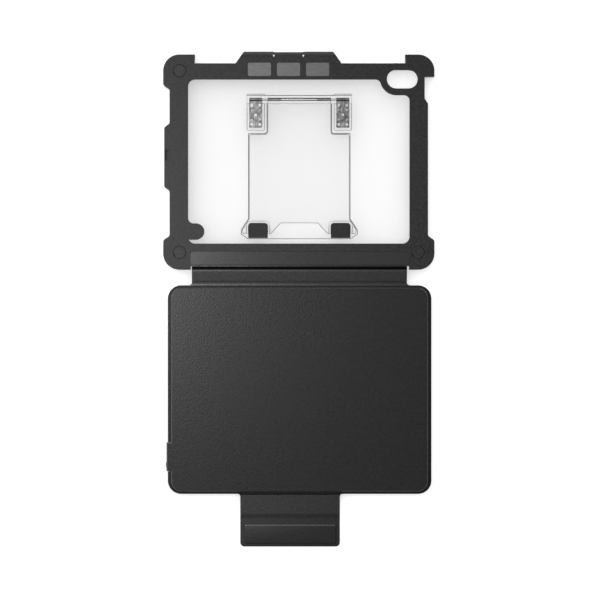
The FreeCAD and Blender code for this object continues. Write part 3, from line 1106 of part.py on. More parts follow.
def flap():
    """The closing flap: two lengths of strap and a tip that holds three magnets."""
    face = "strap_thickness / 2"
    plain("flap_strap", STRAP_PLACE,
          rect(f"-{FLAP_HALF}", FLAP_HALF, "-strap_long + fold_gap", "-fold_gap"), f"-{face}", face)
    plain("flap_bend", BEND_PLACE,
          rect(f"-{FLAP_HALF}", FLAP_HALF, "-strap_short + fold_gap", "-fold_gap"), f"-{face}", face)
    outline = rect(f"-{FLAP_HALF}", FLAP_HALF, "-tip_length", "-fold_gap")
    ends = upright((f"-{FLAP_HALF}", "-tip_length"), (FLAP_HALF, "-tip_length"))
    plain("flap_tip_lining", TIP_PLACE, outline, "0", "tip_base").fillet("tip_corner", ends)
    top = plain("flap_tip_cover", TIP_PLACE, outline, "tip_base", "tip_base + tip_skin")
    top.fillet("tip_corner", ends)
    top.pad([rect(f"-{FLAP_HALF} + pocket_inset", f"{FLAP_HALF} - pocket_inset", "-pocket_end",
                  "-pocket_start", "tip_pocket_corner")], "tip_base", "tip_height")
    top.chamfer("tip_bevel", level_with("tip_height"))
    middle = "(-(pocket_start + pocket_end) / 2)"
    for label, step in (("left", -1), ("middle", 0), ("right", 1)):
        box = block(f"flap_x + {keeper_x(step)}", middle, "flap_magnet_width", "flap_magnet_height")
        top.cut([box], "tip_base", "tip_base + flap_magnet_thickness")
        plain(f"flap_magnet_{label}", TIP_PLACE, box, "tip_base", "tip_base + flap_magnet_thickness")


def check_and_write():
    """See that every object is sound, then write each piece to its own file."""
    DOC.recompute()
    for item in DOC.Objects:
        if {"Invalid", "Error"} & set(item.State):
            raise RuntimeError(f"{item.Label} is {item.State}")
    for body in PIECES:
        if body.Shape.isNull() or not body.Shape.isValid() or not body.Shape.Solids:
            raise RuntimeError(f"{body.Label} has no sound shape")
    os.makedirs("parts", exist_ok=True)
    for body in PIECES:
        body.Shape.exportStep(f"parts/{body.Label}.step")
        print(f"{body.Label}: {len(body.Shape.Solids)} solid(s), {body.Shape.Volume:.0f} mm3")


def main():
    """Build the shell with its pen holder, the kickstand, the spine, the keyboard and the flap."""
    bumper_frame()
    pen_holder()
    back_panel()
    shell_trim()
    hinge_leaf("hinge_leaf_left", -1)
    hinge_leaf("hinge_leaf_right", 1)
    hinge_screws()
    mounting_bar()
    bar_screws()
    kickstand()
    spine()
    folio()
    keyboard_deck()
    keys()
    switch_layers()
    trackpad()
    electronics()
    flap()
    check_and_write()


main()
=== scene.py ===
# %% [markdown]
# A tablet keyboard case, opened flat with its outside up: a rubbery shell with a clear rear panel, a clear
# kickstand, a spine, a thin keyboard under a hard back panel, and a closing flap with magnets.
# The hard parts come as a fixed frame. This script gives them finishes and models the flexible skins again,
# because skins bend across the folds and the frame's plain strips cannot.

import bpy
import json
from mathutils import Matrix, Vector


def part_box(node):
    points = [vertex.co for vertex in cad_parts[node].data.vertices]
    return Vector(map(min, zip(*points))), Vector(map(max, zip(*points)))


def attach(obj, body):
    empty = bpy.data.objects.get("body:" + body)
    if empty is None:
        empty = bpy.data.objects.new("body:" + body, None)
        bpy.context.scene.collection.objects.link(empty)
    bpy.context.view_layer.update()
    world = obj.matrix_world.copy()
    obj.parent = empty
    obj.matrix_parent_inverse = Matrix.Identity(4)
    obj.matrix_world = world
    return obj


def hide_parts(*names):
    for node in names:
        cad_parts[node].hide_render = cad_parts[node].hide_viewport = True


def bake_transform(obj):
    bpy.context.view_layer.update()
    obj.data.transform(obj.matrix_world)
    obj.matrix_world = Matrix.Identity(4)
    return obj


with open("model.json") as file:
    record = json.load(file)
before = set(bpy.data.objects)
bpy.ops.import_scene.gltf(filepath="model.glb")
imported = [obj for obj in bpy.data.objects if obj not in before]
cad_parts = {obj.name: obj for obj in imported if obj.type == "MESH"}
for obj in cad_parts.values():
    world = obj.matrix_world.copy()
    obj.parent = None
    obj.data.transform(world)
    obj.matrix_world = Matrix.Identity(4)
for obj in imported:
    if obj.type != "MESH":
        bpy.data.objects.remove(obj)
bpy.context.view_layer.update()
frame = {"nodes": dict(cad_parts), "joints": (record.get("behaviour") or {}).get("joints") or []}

# %% [markdown]
# Everything is measured in metres. Small sizes read better in millimetres, so one value turns them.
# Places come from the frame's own boxes, so a skin always starts where the part that it hangs on ends.

# %% Units and the places of the folds
import json
import math

import bmesh
import bpy
from mathutils import Vector

MM = 0.001
FOLD_GAP = 1.0 * MM
tongue_low, tongue_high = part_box("spine_tongue")
spine_low, spine_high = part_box("spine_skin")
sheet_low, sheet_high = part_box("folio_skin")
strap_low, strap_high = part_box("flap_strap")
tip_low, tip_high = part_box("flap_tip_cover")
shell_fold = Vector((0, tongue_low.y - FOLD_GAP, (tongue_low.z + tongue_high.z) / 2))
keyboard_fold = Vector((0, sheet_high.y + FOLD_GAP, (sheet_low.z + sheet_high.z) / 2))
print("spine folds at y", round(shell_fold.y / MM, 2), "and", round(keyboard_fold.y / MM, 2))

# %% [markdown]
# The flap has three folds: at the sheet's lower edge, in the middle of the strap and at the tip. The strap is
# straight between them, so no edge of the frame shows where they are. The frame's joints keep their places.

# %% Where the flap folds
joint_place = {joint["name"]: joint.get("pos_m") for joint in frame["joints"]}
root_fold, middle_fold, tip_fold = (
    Vector(joint_place[name]) for name in ("flap_root_fold", "flap_middle_fold", "flap_tip_fold"))
for fold in (root_fold, middle_fold, tip_fold):
    print("flap fold at y", round(fold.y / MM, 2), "z", round(fold.z / MM, 2))

# %% [markdown]
# Modelling by operators works on whatever is selected. The frame arrives selected, so each new piece starts by
# clearing the selection. These helpers do that, apply a modifier, and put a finished mesh at the origin.

# %% Small helpers for modelling
def start_clean():
    """Leave edit mode and deselect everything."""
    if bpy.context.object is not None and bpy.context.object.mode != "OBJECT":
        bpy.ops.object.mode_set(mode="OBJECT")
    bpy.ops.object.select_all(action="DESELECT")


def name_piece(name):
    """Name the object just added and its mesh, and fix its place in the mesh."""
    piece = bpy.context.object
    piece.name = name
    piece.data.name = name
    bpy.ops.object.transform_apply(location=True, rotation=True, scale=True)
    return piece


def apply_modifier(piece, kind, **settings):
    """Add a modifier with these settings and apply it at once."""
    bpy.context.view_layer.objects.active = piece
    modifier = piece.modifiers.new(kind.lower(), kind)
    for key, value in settings.items():
        setattr(modifier, key, value)
    bpy.ops.object.modifier_apply(modifier=modifier.name)


def select_vertices(piece, wanted):
    """Go into edit mode with only the vertices that pass a test selected."""
    start_clean()
    piece.select_set(True)
    bpy.context.view_layer.objects.active = piece
    bpy.ops.object.mode_set(mode="EDIT")
    bpy.ops.mesh.select_mode(type="VERT")
    mesh = bmesh.from_edit_mesh(piece.data)
    for vertex in mesh.verts:
        vertex.select = wanted(vertex.co)
    mesh.select_flush_mode()
    bmesh.update_edit_mesh(piece.data)


def select_faces(piece, wanted):
    """Go into edit mode with only the faces that pass a test of middle and normal selected."""
    start_clean()
    piece.select_set(True)
    bpy.context.view_layer.objects.active = piece
    bpy.ops.object.mode_set(mode="EDIT")
    bpy.ops.mesh.select_mode(type="FACE")
    mesh = bmesh.from_edit_mesh(piece.data)
    for face in mesh.faces:
        face.select = wanted(face.calc_center_median(), face.normal)
    mesh.select_flush_mode()
    bmesh.update_edit_mesh(piece.data)


def leave_edit():
    """Go back to object mode."""
    bpy.ops.object.mode_set(mode="OBJECT")


def smooth(piece, angle):
    """Shade a piece smooth where its faces meet at less than an angle in degrees."""
    start_clean()
    piece.select_set(True)
    bpy.context.view_layer.objects.active = piece
    bpy.ops.object.shade_smooth_by_angle(angle=math.radians(angle))


def report(piece):
    """Print how large a piece came out."""
    corners = [vertex.co for vertex in piece.data.vertices]
    size = [(max(c[i] for c in corners) - min(c[i] for c in corners)) / MM for i in range(3)]
    sides_mm = " x ".join(f"{side:.1f}" for side in size)
    print(piece.name, "is", sides_mm, "mm,", len(piece.data.polygons), "faces")


# %% [markdown]
# A finish is a set of nodes. Moulded rubber, plastic and coated cloth share one idea: a base colour that drifts
# a little over the surface, a fine grain that lifts the surface, and a gloss that changes with the grain.
# One helper lays those nodes, and each finish then has its own numbers. All of them read object coordinates,
# so the grain stays put when a part moves.

# %% A helper for grained finishes
NOISE_LOW, NOISE_HIGH = 0.3, 0.7
BEVEL_STARTS, BEVEL_FULL = 0.97, 0.80


def new_finish(name):
    """An empty material with a Principled shader."""
    material = bpy.data.materials.new(name)
    material.use_nodes = True
    shader = material.node_tree.nodes["Principled BSDF"]
    return material, material.node_tree, shader


def add_noise(tree, size_mm, detail=4.0, stretch=(1, 1, 1)):
    """Noise whose blobs are about this many millimetres across, stretched along an axis if asked."""
    place = tree.nodes.new("ShaderNodeTexCoord")
    mapping = tree.nodes.new("ShaderNodeMapping")
    mapping.inputs["Scale"].default_value = stretch
    noise = tree.nodes.new("ShaderNodeTexNoise")
    noise.inputs["Scale"].default_value = 1 / (size_mm * MM)
    noise.inputs["Detail"].default_value = detail
    tree.links.new(place.outputs["Object"], mapping.inputs["Vector"])
    tree.links.new(mapping.outputs["Vector"], noise.inputs["Vector"])
    return noise.outputs["Fac"]


def between(tree, factor, low, high, socket):
    """Send a factor to a socket as a range of numbers."""
    spread = tree.nodes.new("ShaderNodeMapRange")
    spread.inputs["From Min"].default_value = NOISE_LOW
    spread.inputs["From Max"].default_value = NOISE_HIGH
    spread.inputs["To Min"].default_value = low
    spread.inputs["To Max"].default_value = high
    tree.links.new(factor, spread.inputs["Value"])
    tree.links.new(spread.outputs["Result"], socket)


def colour_range(tree, factor, dark, light, socket):
    """Send a factor to a socket as a colour between two colours."""
    ramp = tree.nodes.new("ShaderNodeValToRGB")
    ramp.color_ramp.elements[0].position = NOISE_LOW
    ramp.color_ramp.elements[0].color = (*dark, 1)
    ramp.color_ramp.elements[1].position = NOISE_HIGH
    ramp.color_ramp.elements[1].color = (*light, 1)
    tree.links.new(factor, ramp.inputs["Fac"])
    tree.links.new(ramp.outputs["Color"], socket)


def lift(tree, shader, height, depth_mm):
    """Let a height raise the surface by about this many millimetres."""
    bump = tree.nodes.new("ShaderNodeBump")
    bump.inputs["Distance"].default_value = depth_mm * MM
    tree.links.new(height, bump.inputs["Height"])
    tree.links.new(bump.outputs["Normal"], shader.inputs["Normal"])


def shine_where_it_leans(tree, shader, level, leaning):
    """Make bevels shinier than level faces: a mould's grain is etched on its faces, not on its bevels."""
    place = tree.nodes.new("ShaderNodeTexCoord")
    parts = tree.nodes.new("ShaderNodeSeparateXYZ")
    steepness = tree.nodes.new("ShaderNodeMapRange")
    steepness.inputs["From Min"].default_value = BEVEL_STARTS
    steepness.inputs["From Max"].default_value = BEVEL_FULL
    steepness.inputs["To Min"].default_value = level
    steepness.inputs["To Max"].default_value = leaning
    tree.links.new(place.outputs["Normal"], parts.inputs["Vector"])
    tree.links.new(parts.outputs["Z"], steepness.inputs["Value"])
    tree.links.new(steepness.outputs["Result"], shader.inputs["Specular IOR Level"])


def grained(name, dark, light, gloss, grain_mm, depth_mm, drift_mm=1.1, specular=0.5, bevel=None):
    """A moulded or coated finish: drifting colour, fine grain, gloss that follows the grain."""
    material, tree, shader = new_finish(name)
    colour_range(tree, add_noise(tree, drift_mm), dark, light, shader.inputs["Base Color"])
    grain = add_noise(tree, grain_mm, detail=6.0)
    between(tree, grain, *gloss, shader.inputs["Roughness"])
    lift(tree, shader, grain, depth_mm)
    shader.inputs["Specular IOR Level"].default_value = specular
    if bevel is not None:
        shine_where_it_leans(tree, shader, specular, bevel)
    return material


# %% [markdown]
# The shell is soft black rubber with a spark-eroded grain. The back panel and the spine are a little darker and
# finer, the bar is smoother, and the feet are the blackest and the most matt. Grain sizes are those of real
# moulds: tenths of a millimetre, so they show close up and only dull the light from afar.

# %% Black finishes
def grey(level):
    """A colour without hue."""
    return (level, level, level)


frame_rubber = grained("frame_rubber", grey(0.002), grey(0.016), gloss=(0.48, 0.68), grain_mm=1.2,
                       depth_mm=0.30, drift_mm=1.2, specular=0.11, bevel=0.3)
grip_rubber = grained("grip_rubber", grey(0.003), grey(0.009), gloss=(0.6, 0.8), grain_mm=1.2,
                      depth_mm=0.12, specular=0.14)
plug_rubber = grained("plug_rubber", grey(0.004), grey(0.015), gloss=(0.52, 0.68), grain_mm=1.2,
                      depth_mm=0.14, specular=0.12)
bar_plastic = grained("bar_plastic", grey(0.003), grey(0.009), gloss=(0.27, 0.35), grain_mm=1.2,
                      depth_mm=0.05, specular=0.26, bevel=0.6)
panel_plastic = grained("panel_plastic", grey(0.001), grey(0.007), gloss=(0.37, 0.48), grain_mm=1.3,
                        depth_mm=0.22, drift_mm=1.2, specular=0.16, bevel=1.0)
deck_plastic = grained("deck_plastic", (0.010, 0.010, 0.011), (0.020, 0.020, 0.021), gloss=(0.5, 0.62),
                       grain_mm=0.8, depth_mm=0.05, specular=0.28)
key_plastic = grained("key_plastic", (0.003, 0.003, 0.004), (0.007, 0.007, 0.008), gloss=(0.42, 0.5),
                      grain_mm=0.6, depth_mm=0.01, specular=0.22, bevel=0.5)
board_fibre = grained("board_fibre", grey(0.08), grey(0.12), gloss=(0.8, 0.9), grain_mm=0.8, depth_mm=0.05)

# %% [markdown]
# Coated cloth has a pebbled grain, like fine leather: rounded cells with thin valleys. Voronoi cells give that
# better than noise. The lining inside is microfibre, with a short nap that catches light at grazing angles.
# Some copies of the cloth carry painted light: darker, duller copies on the welded tip and on the cut rim are
# painted shade, a black one at two folds is painted shadow in the creases, and a lighter, glossier one on the
# pocket's bevel that faces the bright side is a painted highlight.

# %% Cloth finishes
CLOTH_DRIFT_MM = 1.4


def coated_cloth(name, dark, light, gloss, pebble_mm, depth_mm, specular=0.5):
    """A pebbled coating on cloth."""
    material, tree, shader = new_finish(name)
    colour_range(tree, add_noise(tree, CLOTH_DRIFT_MM), dark, light, shader.inputs["Base Color"])
    place = tree.nodes.new("ShaderNodeTexCoord")
    cells = tree.nodes.new("ShaderNodeTexVoronoi")
    cells.feature = "SMOOTH_F1"
    cells.inputs["Scale"].default_value = 1 / (pebble_mm * MM)
    tree.links.new(place.outputs["Object"], cells.inputs["Vector"])
    between(tree, cells.outputs["Distance"], *gloss, shader.inputs["Roughness"])
    lift(tree, shader, cells.outputs["Distance"], -depth_mm)
    shader.inputs["Specular IOR Level"].default_value = specular
    return material


skin_cloth = coated_cloth("skin_cloth", grey(0.006), grey(0.016), gloss=(0.46, 0.62), pebble_mm=1.2,
                          depth_mm=0.12, specular=0.24)
# Painted shade: a darker, duller copy of the coated cloth for the flap's tip and its magnet pocket.
shaded_tip_cloth = coated_cloth("shaded_tip_cloth", grey(0.004), grey(0.011), gloss=(0.55, 0.7), pebble_mm=1.2,
                         depth_mm=0.12, specular=0.15)
# Painted shade: a darker, duller copy of the coated cloth for the folio sheet, whose rim shows round the panel.
shaded_rim_cloth = coated_cloth("shaded_rim_cloth", grey(0.002), grey(0.006), gloss=(0.6, 0.75), pebble_mm=1.0,
                         depth_mm=0.06, specular=0.10)
# Painted shadow: a near-black cloth for the creases at the spine's first fold and at the strap's root.
crease_shadow_cloth = coated_cloth("crease_shadow_cloth", grey(0.0005), grey(0.0015), gloss=(0.85, 0.95), pebble_mm=0.8,
                           depth_mm=0.05, specular=0.02)
# Painted highlight: a lighter, glossier copy of the cloth for the pocket's bevel that faces the bright side.
pocket_highlight_cloth = coated_cloth("pocket_highlight_cloth", grey(0.02), grey(0.03), gloss=(0.3, 0.4), pebble_mm=1.2,
                             depth_mm=0.02)
lining_cloth = coated_cloth("lining_cloth", (0.016, 0.016, 0.017), (0.026, 0.026, 0.028), gloss=(0.8, 0.95),
                            pebble_mm=0.3, depth_mm=0.05)
lining_cloth.node_tree.nodes["Principled BSDF"].inputs["Sheen Weight"].default_value = 0.25

# %% [markdown]
# The rear panel and the kickstand are clear polycarbonate. Seen from straight above a clear sheet nearly
# disappears, and only its bevelled edges turn grey, because they send light sideways. That grey is painted
# shade: the finish is more see-through where the surface is level and greyer and denser where it leans.

# %% Clear plastic
LEAN_STARTS, LEAN_FULL = 0.99, 0.80
LEVEL_TINT = (0.35, 0.35, 0.355, 1)
CLEAR_DRIFT_MM = 9.0
CLEAR_GLOSS = (0.05, 0.09)
POLYCARBONATE_IOR = 1.58


def clear_plastic(name, see_through, painted_edge_shade):
    """Polycarbonate with painted shade: darker and denser where its surface leans."""
    material, tree, shader = new_finish(name)
    place = tree.nodes.new("ShaderNodeTexCoord")
    parts = tree.nodes.new("ShaderNodeSeparateXYZ")
    tree.links.new(place.outputs["Normal"], parts.inputs["Vector"])
    level = tree.nodes.new("ShaderNodeMath")
    level.operation = "ABSOLUTE"
    tree.links.new(parts.outputs["Z"], level.inputs[0])
    # Painted shade: faces that lean turn opaque and take the dark painted edge shade as their colour.
    edge = tree.nodes.new("ShaderNodeMapRange")
    edge.inputs["From Min"].default_value = LEAN_STARTS
    edge.inputs["From Max"].default_value = LEAN_FULL
    edge.inputs["To Min"].default_value = see_through
    edge.inputs["To Max"].default_value = 1.0
    tree.links.new(level.outputs["Value"], edge.inputs["Value"])
    tree.links.new(edge.outputs["Result"], shader.inputs["Alpha"])
    tint = tree.nodes.new("ShaderNodeMix")
    tint.data_type = "RGBA"
    painted_shade_share = tree.nodes.new("ShaderNodeMapRange")
    painted_shade_share.inputs["From Min"].default_value = LEAN_STARTS
    painted_shade_share.inputs["From Max"].default_value = LEAN_FULL
    tree.links.new(level.outputs["Value"], painted_shade_share.inputs["Value"])
    tree.links.new(painted_shade_share.outputs["Result"], tint.inputs["Factor"])
    tint.inputs["A"].default_value = LEVEL_TINT
    tint.inputs["B"].default_value = (*painted_edge_shade, 1)
    tree.links.new(tint.outputs["Result"], shader.inputs["Base Color"])
    between(tree, add_noise(tree, CLEAR_DRIFT_MM, detail=1.0), *CLEAR_GLOSS, shader.inputs["Roughness"])
    shader.inputs["IOR"].default_value = POLYCARBONATE_IOR
    return material


clear_panel = clear_plastic("clear_panel", see_through=0.13, painted_edge_shade=(0.008, 0.008, 0.009))
clear_stand = clear_plastic("clear_stand", see_through=0.04, painted_edge_shade=(0.01, 0.01, 0.011))

# %% [markdown]
# Metal is stamped and brushed. Brushing leaves long fine scratches, so its noise is stretched along one axis
# and steers the gloss. Screws are brighter than the plates, and the keeper plates have a dark satin coat.

# %% Metals
SCRATCH_MM = 0.25
SCRATCH_STRETCH = 0.04
SCRATCH_DEPTH_MM = 0.01


def brushed(name, dark, light, gloss, along, metallic=1.0):
    """Metal with fine scratches along an axis."""
    material, tree, shader = new_finish(name)
    stretch = tuple(SCRATCH_STRETCH if axis == along else 1.0 for axis in "xyz")
    scratches = add_noise(tree, SCRATCH_MM, detail=8.0, stretch=stretch)
    colour_range(tree, scratches, dark, light, shader.inputs["Base Color"])
    between(tree, scratches, *gloss, shader.inputs["Roughness"])
    lift(tree, shader, scratches, SCRATCH_DEPTH_MM)
    shader.inputs["Metallic"].default_value = metallic
    return material


keeper_steel = brushed("keeper_steel", (0.030, 0.030, 0.031), (0.070, 0.070, 0.071), gloss=(0.45, 0.6),
                       along="x", metallic=0.5)
hinge_steel = brushed("hinge_steel", grey(0.01), grey(0.20), gloss=(0.30, 0.5), along="y")
shaft_steel = brushed("shaft_steel", (0.35, 0.35, 0.36), (0.60, 0.60, 0.61), gloss=(0.2, 0.35), along="x")
screw_steel = brushed("screw_steel", grey(0.30), grey(0.62), gloss=(0.22, 0.35), along="x")
plate_steel = brushed("plate_steel", grey(0.45), grey(0.6), gloss=(0.3, 0.45), along="x")
magnet_nickel = brushed("magnet_nickel", (0.55, 0.54, 0.52), (0.68, 0.67, 0.65), gloss=(0.15, 0.25), along="y")

# %% [markdown]
# The hinge leaves sit under clear plastic that reflects the room unevenly, so they look patchy. That patchiness is
# painted reflection: broad noise multiplies the colour of the steel, and leaves the scratches as they are.

# %% Painted reflections on the hinge leaves
REFLECTION_PATCH_MM = 3.6
REFLECTION_PATCH_SHARE = 0.45
REFLECTION_DARK, REFLECTION_LIGHT = grey(0.10), grey(2.2)
steel_tree = hinge_steel.node_tree
steel_colour = steel_tree.nodes["Principled BSDF"].inputs["Base Color"]
# Painted reflection: broad dark and light blotches multiplied into the steel's colour.
painted_reflections = steel_tree.nodes.new("ShaderNodeMix")
painted_reflections.data_type = "RGBA"
painted_reflections.blend_type = "MULTIPLY"
painted_reflections.inputs["Factor"].default_value = REFLECTION_PATCH_SHARE
steel_tree.links.new(steel_colour.links[0].from_socket, painted_reflections.inputs["A"])
colour_range(steel_tree, add_noise(steel_tree, REFLECTION_PATCH_MM, detail=1.0), REFLECTION_DARK, REFLECTION_LIGHT, painted_reflections.inputs["B"])
steel_tree.links.new(painted_reflections.outputs["Result"], steel_colour)
print("patches on", hinge_steel.name, "are about", REFLECTION_PATCH_MM, "mm across")

# %% [markdown]
# A few pieces are hidden inside the keyboard or show only through an opening: glass on the trackpad, film,
# a green board, a wrapped cell and three small lights. Each still has the finish of its kind.

# %% Glass, film, board, cell and lights
trackpad_glass = grained("trackpad_glass", (0.018, 0.018, 0.020), (0.022, 0.022, 0.024), gloss=(0.28, 0.34),
                         grain_mm=0.2, depth_mm=0.004)
membrane_film = grained("membrane_film", (0.45, 0.45, 0.42), (0.55, 0.55, 0.52), gloss=(0.25, 0.35),
                        grain_mm=2.0, depth_mm=0.01)
circuit_green = grained("circuit_green", (0.012, 0.10, 0.04), (0.02, 0.16, 0.07), gloss=(0.3, 0.4),
                        grain_mm=1.2, depth_mm=0.02)
battery_foil = grained("battery_foil", (0.16, 0.16, 0.18), (0.24, 0.24, 0.26), gloss=(0.25, 0.4),
                       grain_mm=3.0, depth_mm=0.05)
light_lens = grained("light_lens", (0.55, 0.75, 0.55), (0.7, 0.9, 0.7), gloss=(0.1, 0.2),
                     grain_mm=0.5, depth_mm=0.004)

# %% [markdown]
# Every node of the frame that stays visible gets the finish of its real material.

# %% Give the frame its finishes
def finish_nodes(material, *names):
    """Put one material on several nodes of the frame."""
    for name in names:
        node = frame["nodes"][name]
        node.data.materials.clear()
        node.data.materials.append(material)
    print(material.name, "is on", len(names), "node(s)")


sides = ("left", "right")
thirds = ("left", "middle", "right")
feet = [f"kickstand_foot_{side}" for side in sides]
plugs = ["corner_plug_top_left", "corner_plug_bottom_left", "corner_plug_bottom_right"]
keepers = [f"keeper_plate_{third}" for third in thirds]
key_names = [name for name in frame["nodes"] if name.endswith(("_keys", "_key", "space_bar"))]
finish_nodes(frame_rubber, "bumper_frame", "pen_holder")
finish_nodes(clear_panel, "back_panel")
finish_nodes(clear_stand, "kickstand_plate")
finish_nodes(grip_rubber, *feet)
finish_nodes(plug_rubber, *plugs)
finish_nodes(keeper_steel, *keepers)
finish_nodes(hinge_steel, *(f"hinge_leaf_{side}" for side in sides))
finish_nodes(shaft_steel, *(f"hinge_shaft_{side}" for side in sides))
finish_nodes(screw_steel, "hinge_screws", "bar_screws", "deck_screws")
finish_nodes(bar_plastic, "mounting_bar")
finish_nodes(panel_plastic, "back_cover")
finish_nodes(deck_plastic, "keyboard_deck", "power_switch")
finish_nodes(key_plastic, *key_names)
finish_nodes(trackpad_glass, "trackpad")
finish_nodes(membrane_film, "key_membrane")
finish_nodes(plate_steel, "switch_plate", "trackpad_bracket", "usb_port")
finish_nodes(circuit_green, "circuit_board", "trackpad_switch")
finish_nodes(battery_foil, "battery")
finish_nodes(light_lens, "status_lights")
finish_nodes(magnet_nickel, "wake_magnet", *(f"flap_magnet_{third}" for third in thirds))
finish_nodes(board_fibre, "spine_board")

# %% [markdown]
# Moulded parts never have knife edges. A small bevel on every step of the clear parts gives each outline a leaning
# face that takes the painted grey shade of the clear finish: the recess, the arches round the feet, the hinge
# pockets and the row of dots on the barrel. It is a live modifier, so the frame's own meshes stay as they are. The
# feet, the plugs and the keeper plates get one too. The keys keep their edges, because the gap between a key and
# the deck is too narrow for it.

# %% Soften the edges of the moulded parts
SPLIT_CORNER = 0.002 * MM
SHARP_STEP = math.radians(55)


def soften_edges(names, width, segments):
    """Bevel the sharp edges of nodes of the frame with live modifiers, after joining their split corners."""
    for name in names:
        node = frame["nodes"][name]
        weld = node.modifiers.new("joined_corners", "WELD")
        weld.merge_threshold = SPLIT_CORNER
        bevel = node.modifiers.new("soft_edges", "BEVEL")
        bevel.width = width
        bevel.segments = segments
        bevel.limit_method = "ANGLE"
        bevel.angle_limit = SHARP_STEP
        bevel.use_clamp_overlap = False
    print("softened", len(names), "nodes by", round(width / MM, 2), "mm")


soften_edges(["back_panel", "kickstand_plate"], 0.20 * MM, 1)
soften_edges(feet + plugs, 0.30 * MM, 2)
soften_edges(keepers, 0.12 * MM, 1)

# %% [markdown]
# The folio's sheet is flexible: a rounded rectangle of coated cloth that stands out as a rim round the hard
# panel. It starts as a plane. A vertex bevel rounds its corners, a solidify gives it thickness, and a small
# bevel softens the cut edge. Cut cloth has a slightly rounded edge where the coating wraps over it.

# %% Model the folio's sheet
SHEET_CORNER = 13.0 * MM
CORNER_SEGMENTS = 10
CUT_EDGE = 0.22 * MM
CUT_ANGLE = math.radians(50)


def flat_sheet(name, x_range, y_range, z, corner):
    """A plane with rounded corners, at one height."""
    start_clean()
    bpy.ops.mesh.primitive_plane_add(size=1, location=(sum(x_range) / 2, sum(y_range) / 2, z))
    bpy.context.object.scale = (x_range[1] - x_range[0], y_range[1] - y_range[0], 1)
    sheet = name_piece(name)
    bpy.ops.object.mode_set(mode="EDIT")
    bpy.ops.mesh.select_all(action="SELECT")
    bpy.ops.mesh.bevel(offset=corner, segments=CORNER_SEGMENTS, affect="VERTICES", profile=0.5)
    leave_edit()
    return sheet


def give_thickness(piece, thickness):
    """Make a solid of a surface, half of its thickness to each side."""
    apply_modifier(piece, "SOLIDIFY", thickness=thickness, offset=0.0, use_even_offset=True)


def thicken(piece, thickness, edge=CUT_EDGE):
    """Give a sheet its thickness and round its cut edges."""
    give_thickness(piece, thickness)
    apply_modifier(piece, "BEVEL", width=edge, segments=2, limit_method="ANGLE", angle_limit=CUT_ANGLE)


sheet_middle_z = (sheet_low.z + sheet_high.z) / 2
sheet_thickness = sheet_high.z - sheet_low.z
folio_sheet = flat_sheet("folio_sheet", (sheet_low.x, sheet_high.x), (sheet_low.y, sheet_high.y),
                         sheet_middle_z, SHEET_CORNER)
thicken(folio_sheet, sheet_thickness)
report(folio_sheet)

# %% [markdown]
# A box for the charging socket breaks the sheet's left edge. A block subtracted by a boolean is the plain way
# to cut a notch: it leaves a clean step, and the block is thrown away afterwards.

# %% Cut the notch for the side box
BOX_UP = 37.3 * MM
BOX_LENGTH = 28.7 * MM
BOX_DEEP = 4.4 * MM
BLOCK_HEIGHT = 10 * MM
box_middle = sheet_low.y + BOX_UP - FOLD_GAP


def cut_block(piece, middle, size):
    """Subtract a block from a piece."""
    start_clean()
    bpy.ops.mesh.primitive_cube_add(size=1, location=middle)
    block = bpy.context.object
    block.scale = size
    bpy.ops.object.transform_apply(location=True, rotation=True, scale=True)
    apply_modifier(piece, "BOOLEAN", operation="DIFFERENCE", solver="EXACT", object=block)
    start_clean()
    block.select_set(True)
    bpy.ops.object.delete()


cut_block(folio_sheet, (sheet_low.x, box_middle, sheet_middle_z), (2 * BOX_DEEP, BOX_LENGTH, BLOCK_HEIGHT))
report(folio_sheet)

# %% [markdown]
# Every other skin is a strip that goes over a fold. A strip is drawn the way it is cut and laid: from one edge,
# the far edge is extruded from point to point along its side view, and is made wider or narrower on the way.
# That gives rounded ends and the small fillets where a strap grows out of a sheet.

# %% A strip of cloth that follows its side view
SAME_PLACE = 1e-6


def cloth_strip(name, x_range, path):
    """A strip along (y, z, flare) points. Flare is how much further out both of its sides are there."""
    start_clean()
    middle_x = sum(x_range) / 2
    width = x_range[1] - x_range[0]
    (y0, z0, first_flare), (y1, z1, _) = path[:2]
    tilt = math.atan2(z0 - z1, y0 - y1)
    bpy.ops.mesh.primitive_plane_add(
        size=1, location=(middle_x, (y0 + y1) / 2, (z0 + z1) / 2), rotation=(tilt, 0, 0))
    bpy.context.object.scale = (width + 2 * first_flare, math.hypot(y1 - y0, z1 - z0), 1)
    strip = name_piece(name)
    for (y_from, z_from, flare_from), (y_to, z_to, flare_to) in zip(path[1:], path[2:]):
        select_vertices(strip, lambda place: (abs(place.y - y_from) < SAME_PLACE
                                              and abs(place.z - z_from) < SAME_PLACE))
        bpy.ops.mesh.extrude_region_move(
            TRANSFORM_OT_translate={"value": (0, y_to - y_from, z_to - z_from)})
        spread = (width + 2 * flare_to) / (width + 2 * flare_from)
        bpy.ops.transform.resize(value=(spread, 1, 1), center_override=(middle_x, y_to, z_to))
        leave_edit()
    return strip


def along(start, end, steps):
    """Points between two folds, a number of even steps apart, the first and the last left out."""
    return [start.lerp(end, step / steps) for step in range(1, steps)]


def concave(radius, steps):
    """(distance from the wider edge, flare) pairs of a fillet whose curve turns inwards."""
    turns = [math.pi / 2 * step / steps for step in range(steps + 1)]
    return [(radius * (1 - math.cos(turn)), radius * (1 - math.sin(turn))) for turn in turns]


for distance, flare in concave(3.0, 4):
    print("fillet point", round(distance, 2), round(flare, 2))

# %% [markdown]
# The spine hangs from the mounting bar. Its cloth comes out of the bar's slot, turns down at the first fold, and
# then holds a stiff board between two layers, so its middle is thicker than its hinges. The thick middle is made
# by an inset of the faces on each side, which are then pushed out.

